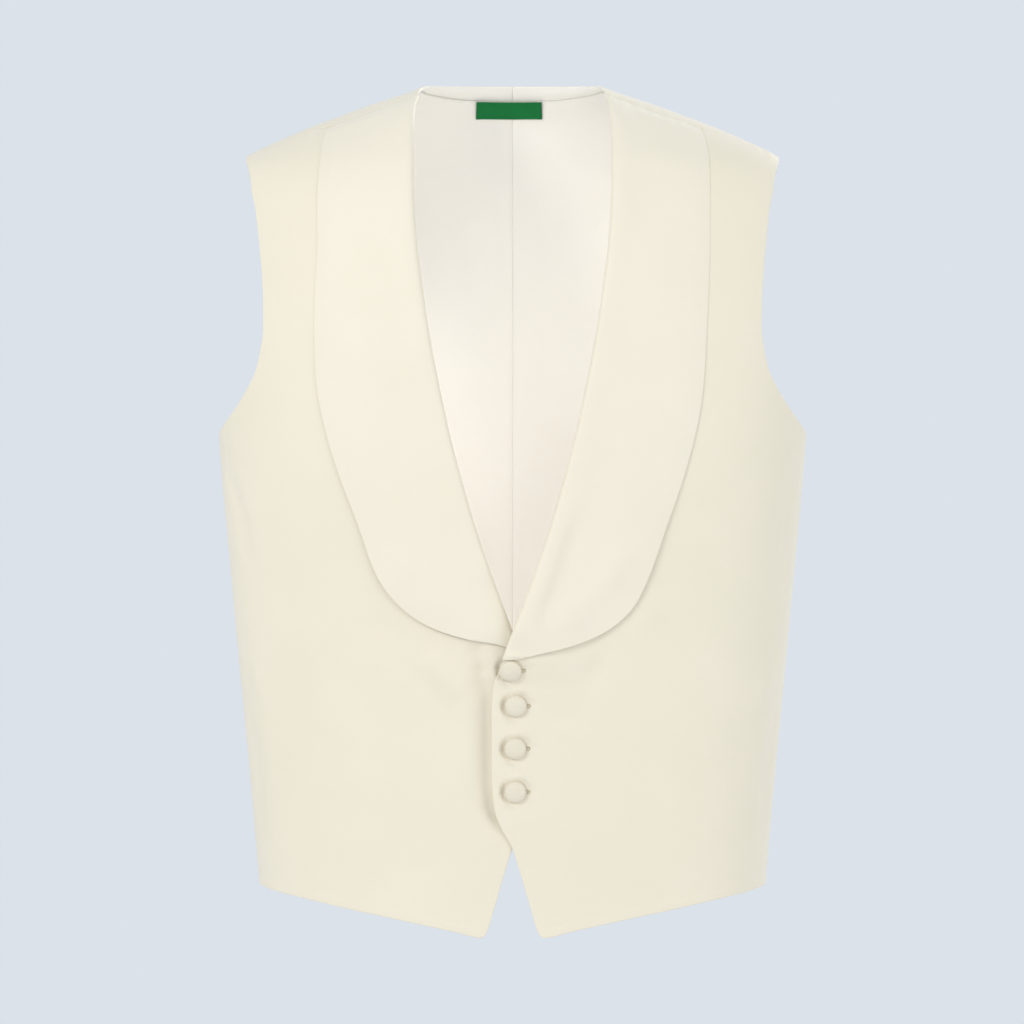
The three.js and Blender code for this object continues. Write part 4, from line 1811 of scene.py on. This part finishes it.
    def build(self) -> bpy.types.Object:
        """The lapel as a closed shell round its section.

        Returns:
            The piece.
        """
        loops, places, sheet_rows = [], [], []
        rolls, edges, fulls, shares = self.lines()
        along = np.concatenate(([0.0], np.cumsum(np.linalg.norm(np.diff(rolls, axis=0), axis=1))))
        start = FIGURE.settled(lerp(rolls[0], edges[0], np.linspace(0, 1, 40)[:, None]))
        seam = seam_curve(0.15).points
        move = [np.interp(start[:, 0], seam[:, 0], seam[:, k]) - start[:, k] for k in (1, 2)]
        for roll, edge, end, share, down in zip(rolls, edges, fulls, shares, along):
            width = float(np.linalg.norm(edge - roll))
            line, full = self.section(width, float(share))
            tangent = np.gradient(line, axis=0)
            tangent /= np.linalg.norm(tangent, axis=1, keepdims=True)
            side = np.stack((tangent[:, 1], -tangent[:, 0]), axis=1)
            half = side * (self.wall / 2 * full * end)[:, None]
            loop = np.concatenate((line + half, (line - half)[-2:0:-1]))
            points = roll + (edge - roll) * (loop[:, :1] / width)
            at_seam = 1 - float(smooth_step(0, 0.07, share))
            for k in (1, 2):
                points[:, k] += at_seam * np.interp(points[:, 0], start[:, 0], move[k - 1])
            points = FIGURE.settled(points)
            own = sum(fold.lift(points[:, 0], points[:, 2]) for fold in LAPEL_FOLDS[self.hand])
            lift = front_lift(self.hand, points) + loop[:, 1] + own * smooth_step(6, 16, loop[:, 0])
            loops.append(points + FIGURE.normal(points) * lift[:, None])
            across = np.concatenate(([0.0], np.cumsum(np.linalg.norm(np.diff(line, axis=0), axis=1))))
            across = np.concatenate((across, across[-2:0:-1]))
            places.append(np.stack((across, np.full_like(across, down)), axis=1) * MM)
            row = np.full((len(line), 1), down)
            sheet_rows.append(np.concatenate((loop[: len(line)], row), axis=1))
        vertices = np.concatenate(loops) * np.array([self.hand.value, 1, 1])
        index = np.arange(len(vertices)).reshape(len(loops), -1)
        faces = grid_faces(np.concatenate((index, index[:, :1]), axis=1))
        made = mesh_object(f"silk_lapel_{self.hand.word}", vertices, faces, np.concatenate(places))
        log.info("lapel %s: area %.4f", self.hand.word, grid_area(np.array(sheet_rows)))
        placed(made, f"lapel_{self.hand.word}", LAPEL_SILK)
        return made


@dataclass(frozen=True)
class NeckLabel:
    """The woven label inside the back of the neck, its ends turned under.

    Attributes:
        x: Its middle's distance from the centre line.
        z: Its middle's height.
        width: Its width.
        height: Its height.
        wall: Its thickness.
        sink: How far its outer face lies under the back's.
        turned: How far its ends are turned under.
    """

    x: float = -2.5
    z: float = -8.7
    width: float = 49.2
    height: float = 11.7
    wall: float = 0.7
    sink: float = SHELL_WALL + Back.lining_gap + Back.lining_wall + 0.25
    turned: float = 3.2

    COLUMNS = 60
    ROWS = 16

    def build(self) -> bpy.types.Object:
        """The label as a thin shell on the lining, with its stitches.

        Returns:
            The piece.
        """
        x = self.x + self.width * (np.linspace(0, 1, self.COLUMNS) - 0.5)
        z = self.z + self.height * (0.5 - np.linspace(0, 1, self.ROWS))
        points = FIGURE.at(x[None, :], z[:, None], Face.BACK)
        cloth = spread(points, self.wall / 2)
        ends = np.minimum(cloth.from_inner, cloth.from_outer)
        lift = 0.12 * np.sin(cloth.x / 6.3) * smooth_step(0, 3, cloth.border)
        lift = -0.22 * (1 - smooth_step(self.turned, 4.0, ends)) + lift
        height = back_lift(np.abs(cloth.points) * np.array([1, 1, -1])) - self.sink + lift
        made = wall_object("neck_label_tape", Hand.LEFT, cloth, height, self.wall)
        placed(made, "neck_label", LABEL)
        borders = []
        for border, row in ((0, STITCH_ROW), (-1, -1 - STITCH_ROW)):
            borders.append((cloth.points[border], cloth.points[row], height[row]))
        for border, row in ((0, STITCH_ROW), (-1, -1 - STITCH_ROW)):
            borders.append((cloth.points[:, border], cloth.points[:, row], height[:, row]))
        paths = []
        for edge, inward, top in borders:
            mirrored = np.abs(edge) * np.array([1, 1, -1])
            ground = back_lift(mirrored) - self.sink + 0.2
            paths.append(LABEL_FELLING.paths(edge, inward, ground, top - self.wall))
        paths = np.concatenate(paths)
        stitches = thread_object("label_stitches", paths, LABEL_FELLING.radius)
        placed(stitches, None, LABEL_THREAD)
        return made


@dataclass(frozen=True)
class Seat:
    """A place on the left front, with its own axes: across, outwards and up.

    Attributes:
        x: Its distance from the centre line.
        z: Its height.
        reach: How far from it the slope of the cloth is read.
    """

    x: float
    z: float
    reach: float = 6.0

    def matrix(self) -> Matrix:
        """The place's axes, Y outwards and Z up the front.

        Returns:
            The matrix from the place to the garment, in millimetres.
        """
        offsets = np.array(((0, 0), (1, 0), (-1, 0), (0, 1), (0, -1))) * self.reach
        points = FIGURE.at(self.x + offsets[:, 0], self.z + offsets[:, 1], Face.FRONT)
        faces = points + FIGURE.normal(points) * front_lift(Hand.LEFT, points)[:, None]
        across = faces[1] - faces[2]
        normal = np.cross(across, faces[3] - faces[4])
        normal /= np.linalg.norm(normal)
        across /= np.linalg.norm(across)
        up = np.cross(across, normal)
        rows = [(across[k], normal[k], up[k], faces[0, k]) for k in range(3)]
        return Matrix([*rows, (0, 0, 0, 1)])


@dataclass(frozen=True)
class Buttonhole:
    """A horizontal buttonhole with an eyelet, cut and worked over with thread painted dark as shade in
    the hole.

    Attributes:
        number: Which one it is, from the top.
        x: Where the button's shank passes it.
        z: Its height.
        shank: How wide it stands open round the shank.
        reach: How far the eyelet lies from the shank.
        eyelet: The eyelet's radius.
        slit: Half the width of the slit beside the eyelet.
        thread: The radius of the stitches' thread.
    """

    number: int
    x: float
    z: float
    shank: float = 1.75
    reach: float = 8.8
    eyelet: float = 0.55
    slit: float = 0.25
    thread: float = 0.2

    # The stitches' number, and their rings as distances from the hole's edge and heights
    # over the front.
    STITCHES = 46
    RINGS = ((0.05, -0.5), (0.2, 0.16), (0.6, 0.24), (1.0, 0.0))

    def outline(self, out: float) -> Array:
        """The points round the hole.

        Args:
            out: How far they lie outside its edge.

        Returns:
            Rows of the distances across from the shank and up.
        """
        left = np.radians(np.linspace(90, 270, 13))
        right = np.radians(np.linspace(-140, 140, 15))
        wide, small, thin = self.shank + out, self.eyelet + out, self.slit + out
        start = np.stack((wide * np.cos(left), wide * np.sin(left)), axis=1)
        end = np.stack((self.reach + small * np.cos(right), small * np.sin(right)), axis=1)
        middle = np.array(((self.reach * 0.45, -lerp(wide, thin, 0.6)),))
        return np.concatenate((start, middle, end, middle * (1, -1)))

    def on_front(self, across: Array, height: float) -> Array:
        """Places beside the shank put on the left front.

        Args:
            across: Rows of the distances across from the shank and up.
            height: How far over the front they lie.

        Returns:
            The points.
        """
        points = FIGURE.at(self.x + across[:, 0], self.z + across[:, 1], Face.FRONT)
        lift = front_lift(Hand.LEFT, points) + height
        return points + FIGURE.normal(points) * lift[:, None]

    def cutter(self) -> bpy.types.Object:
        """The form that cuts the hole.

        Returns:
            The form.
        """
        ring = self.outline(0)
        vertices = np.concatenate((self.on_front(ring, 2), self.on_front(ring, -3)))
        count = len(ring)
        mesh = bpy.data.meshes.new("buttonhole_cutter")
        sides = [(i, (i + 1) % count, count + (i + 1) % count, count + i) for i in range(count)]
        lids = [tuple(range(count))[::-1], tuple(range(count, 2 * count))]
        mesh.from_pydata((vertices * MM).tolist(), [], sides + lids)
        made = bpy.data.objects.new(mesh.name, mesh)
        bpy.context.collection.objects.link(made)
        return made

    def build(self) -> bpy.types.Object:
        """The stitches round the hole, side by side, in thread painted dark as shade.

        Returns:
            The stitches as one object.
        """
        share = np.linspace(0, 1, self.STITCHES, endpoint=False)
        paths = []
        for out, height in self.RINGS:
            ring = self.outline(out)
            closed = Curve(np.pad(np.concatenate((ring, ring[:1])), ((0, 0), (0, 1))))
            paths.append(self.on_front(closed.at(share)[:, :2], height))
        name = f"buttonhole_stitches_{self.number}"
        made = thread_object(name, np.stack(paths, axis=1), self.thread)
        # The stitches take the dark thread, which is painted shade for the hole's eyelet.
        return placed(made, None, SHADED_HOLE_THREAD)


def cut_holes(made: bpy.types.Object, holes: Sequence[Buttonhole]) -> None:
    """Cuts the buttonholes out of a piece.

    Args:
        made: The piece.
        holes: The buttonholes.
    """
    for hole in holes:
        cutter = hole.cutter()
        modifier = made.modifiers.new("hole", "BOOLEAN")
        modifier.operation = "DIFFERENCE"
        modifier.solver = "EXACT"
        modifier.object = cutter
        cut = bpy.data.meshes.new_from_object(made.evaluated_get(bpy.context.evaluated_depsgraph_get()))
        made.modifiers.clear()
        made.data = cut
        bpy.data.objects.remove(cutter)


@dataclass(frozen=True)
class Button:
    """A button covered with silk, with its shank through the buttonhole.

    Attributes:
        number: Which one it is, from the top.
        seat: Its place on the left front.
        radius: Its radius.
        height: How far its middle stands over the front.
        shank: The shank's radius.
        rim_height: The height of its widest line.
        rim_radius: The radius of its rounded rim.
        rim_width: How far in from the rim the gathers and the underside's edge lie.
        gathers: How many gathers the silk has.
        gather_height: How high they stand.
        slack: How far the silk hangs slack between them.
        sides: How many sides its round has.
    """

    number: int
    seat: Seat
    radius: float = 7.3
    height: float = 4.6
    shank: float = 1.5
    rim_height: float = 1.5
    rim_radius: float = 1.0
    rim_width: float = 1.6
    gathers: int = 13
    gather_height: float = 0.10
    slack: float = 0.12
    sides: int = 56

    def build(self) -> bpy.types.Object:
        """The button as a turned form with small gathers towards its rim.

        Returns:
            The button.
        """
        turn = np.linspace(0, np.pi / 2, 15)
        rise = self.rim_height + (self.height - self.rim_height) * np.sin(turn)
        dome = np.stack((self.radius * np.cos(turn), rise), axis=1)
        under = np.radians(np.linspace(-75, -8, 7))
        rim_x = self.radius - self.rim_radius + self.rim_radius * np.cos(under)
        rim = np.stack((rim_x, self.rim_height + self.rim_radius * np.sin(under)), axis=1)
        foot = -(SHELL_WALL + LAYER_GAP - 0.3)
        shank = [(self.shank * 0.6, foot), (self.shank, foot + 0.4)]
        shank += [(self.shank, 0.3), (self.shank + 1.2, 0.5)]
        below = [(self.radius - self.rim_width, 0.46)]
        profile = np.concatenate((shank, below, rim, dome[:-1]))
        around = np.linspace(0, 2 * np.pi, self.sides, endpoint=False)
        radius, level = profile[:, :1], profile[:, 1:]
        uneven = 0.7 * np.sin(2 * around + self.number)
        gather = self.gather_height * np.cos(self.gathers * around + uneven)
        gather = gather * np.exp(-(((radius - self.radius) / self.rim_width) ** 2))
        inside = (1 - (radius / self.radius) ** 2).clip(0)
        slack = self.slack * np.cos(2 * around + self.number) * inside
        ring = np.stack(
            (
                (radius + gather) * np.cos(around),
                level + np.where(level > self.rim_height, slack, 0),
                (radius + gather) * np.sin(around),
            ),
            axis=-1,
        )
        vertices = np.concatenate((ring.reshape(-1, 3), [(0, self.height, 0), (0, foot, 0)]))
        index = np.arange(ring.shape[0] * self.sides).reshape(-1, self.sides)
        index = np.concatenate((index, index[:, :1]), axis=1)
        first, last = index[0].tolist(), index[-1].tolist()
        top, bottom = len(vertices) - 2, len(vertices) - 1
        faces = [tuple(quad) for quad in grid_faces(index).tolist()]
        faces += [(a, b, top) for a, b in zip(last[:-1], last[1:])]
        faces += [(b, a, bottom) for a, b in zip(first[:-1], first[1:])]
        mesh = bpy.data.meshes.new(f"covered_button_{self.number}")
        mesh.from_pydata((vertices * MM).tolist(), [], faces)
        mesh.polygons.foreach_set("use_smooth", np.ones(len(mesh.polygons), dtype=bool))
        layer = mesh.uv_layers.new(name="cloth")
        corners = np.array([i for face in faces for i in face])
        layer.data.foreach_set("uv", (vertices[corners][:, [0, 2]] * MM).astype(np.float32).ravel())
        mesh.transform(self._metres(self.seat.matrix()))
        mesh.update()
        made = bpy.data.objects.new(mesh.name, mesh)
        bpy.context.collection.objects.link(made)
        return placed(made, f"button_{self.number}", BUTTON_SILK)

    @staticmethod
    def _metres(matrix: Matrix) -> Matrix:
        """A matrix in millimetres turned into metres.

        Args:
            matrix: The matrix.

        Returns:
            The same turn with its move in metres.
        """
        moved = matrix.copy()
        moved.translation = moved.translation * MM
        return moved


BUTTONS = tuple(Button(i + 1, Seat(*place)) for i, place in enumerate(BUTTON_PLACES))
BUTTONHOLES = tuple(Buttonhole(i + 1, *place) for i, place in enumerate(BUTTON_PLACES))


@dataclass(frozen=True)
class Lamp:
    """A large soft light that faces the garment.

    Attributes:
        name: Its name.
        place: Where it stands, in metres.
        size: Its width in metres.
        power: Its power in watts.
        colour: Its colour.
        aim: The place it faces.
        length: Its length in metres, or None for a round one.
    """

    name: str
    place: Triple
    size: float
    power: float
    colour: Triple = (1, 0.97, 0.92)
    aim: Triple = (0, 0, -0.3)
    length: float | None = None

    def build(self) -> None:
        """Adds the light."""
        light = bpy.data.lights.new(self.name, "AREA")
        light.shape = "DISK" if self.length is None else "RECTANGLE"
        light.size = self.size
        light.size_y = self.length or self.size
        light.energy = self.power
        light.color = self.colour
        made = bpy.data.objects.new(self.name, light)
        made.location = self.place
        made.visible_camera = False
        aim = Vector(self.aim) - Vector(self.place)
        made.rotation_euler = aim.to_track_quat("-Z", "Y").to_euler()
        bpy.context.collection.objects.link(made)


@dataclass(frozen=True)
class Studio:
    """The plain pale floor, the soft light all round, and the camera.

    Attributes:
        floor_z: The floor's height in metres.
        floor_radius: Its radius in metres.
        floor_sides: How many sides its round has.
        floor_colour: Its colour.
        colour: The colour of the light all round.
        camera_place: Where the camera stands, in metres.
        focal_length: Its focal length in millimetres.
        lamps: The lamps.
    """

    floor_z: float = -1.15
    floor_radius: float = 5.2
    floor_sides: int = 96
    floor_colour: Triple = (0.82, 0.835, 0.855)
    colour: Triple = (0.708, 0.760, 0.823)
    camera_place: Triple = (-0.00035, -4.0, -0.299)
    focal_length: float = 199.5
    lamps: tuple[Lamp, ...] = (
        Lamp("key", (-2.6, -3.1, 1.6), 1.3, 51),
        Lamp("fill", (3.2, -2.6, 0.3), 2.4, 32),
        Lamp("left", (-3.6, -1.2, -0.3), 2.6, 8),
        Lamp("behind", (2.2, 3.4, 1.5), 1.6, 36),
        Lamp(
            "inside",
            (-0.02, -0.065, -0.275),
            0.07,
            0.216,
            (0.99, 0.98, 1),
            aim=(0, 1, -0.275),
            length=0.44,
        ),
    )

    def build(self) -> None:
        """Adds the floor, the lights and the camera."""
        self._build_floor()
        world = bpy.context.scene.world or bpy.data.worlds.new("studio")
        bpy.context.scene.world = world
        world.use_nodes = True
        back = world.node_tree.nodes["Background"]
        back.inputs["Color"].default_value = (*self.colour, 1)
        back.inputs["Strength"].default_value = 1.0
        for lamp in self.lamps:
            lamp.build()
        camera = bpy.data.cameras.new("camera")
        camera.lens = self.focal_length
        camera.sensor_width = 36
        made = bpy.data.objects.new("camera", camera)
        made.location = self.camera_place
        made.rotation_euler = (math.pi / 2, 0, 0)
        bpy.context.collection.objects.link(made)
        bpy.context.scene.camera = made
        bpy.context.scene.view_settings.view_transform = "Standard"

    def _build_floor(self) -> None:
        """Adds the round floor in its pale paint."""
        turn = np.linspace(0, 2 * np.pi, self.floor_sides, endpoint=False)
        rim = np.stack((np.cos(turn), np.sin(turn), np.zeros_like(turn)), axis=1)
        vertices = rim * self.floor_radius + np.array([0, 0, self.floor_z])
        mesh = bpy.data.meshes.new("floor")
        mesh.from_pydata(vertices.tolist(), [], [list(range(self.floor_sides))])
        floor = bpy.data.objects.new("floor", mesh)
        bpy.context.collection.objects.link(floor)
        paint = bpy.data.materials.new("floor paint")
        paint.use_nodes = True
        shader = paint.node_tree.nodes["Principled BSDF"]
        shader.inputs["Base Color"].default_value = (*self.floor_colour, 1)
        shader.inputs["Roughness"].default_value = 0.9
        mesh.materials.append(paint)


def main() -> None:
    """Builds the garment piece by piece, then the studio."""
    logging.basicConfig(level=logging.INFO, format="%(message)s")
    for hand in Hand:
        back = Back(hand)
        back.build()
        back.build_lining()
        Front(hand).build()
        Lapel(hand).build()
    NeckLabel().build()
    for button in BUTTONS:
        button.build()
    Studio().build()


if __name__ == "__main__":
    main()
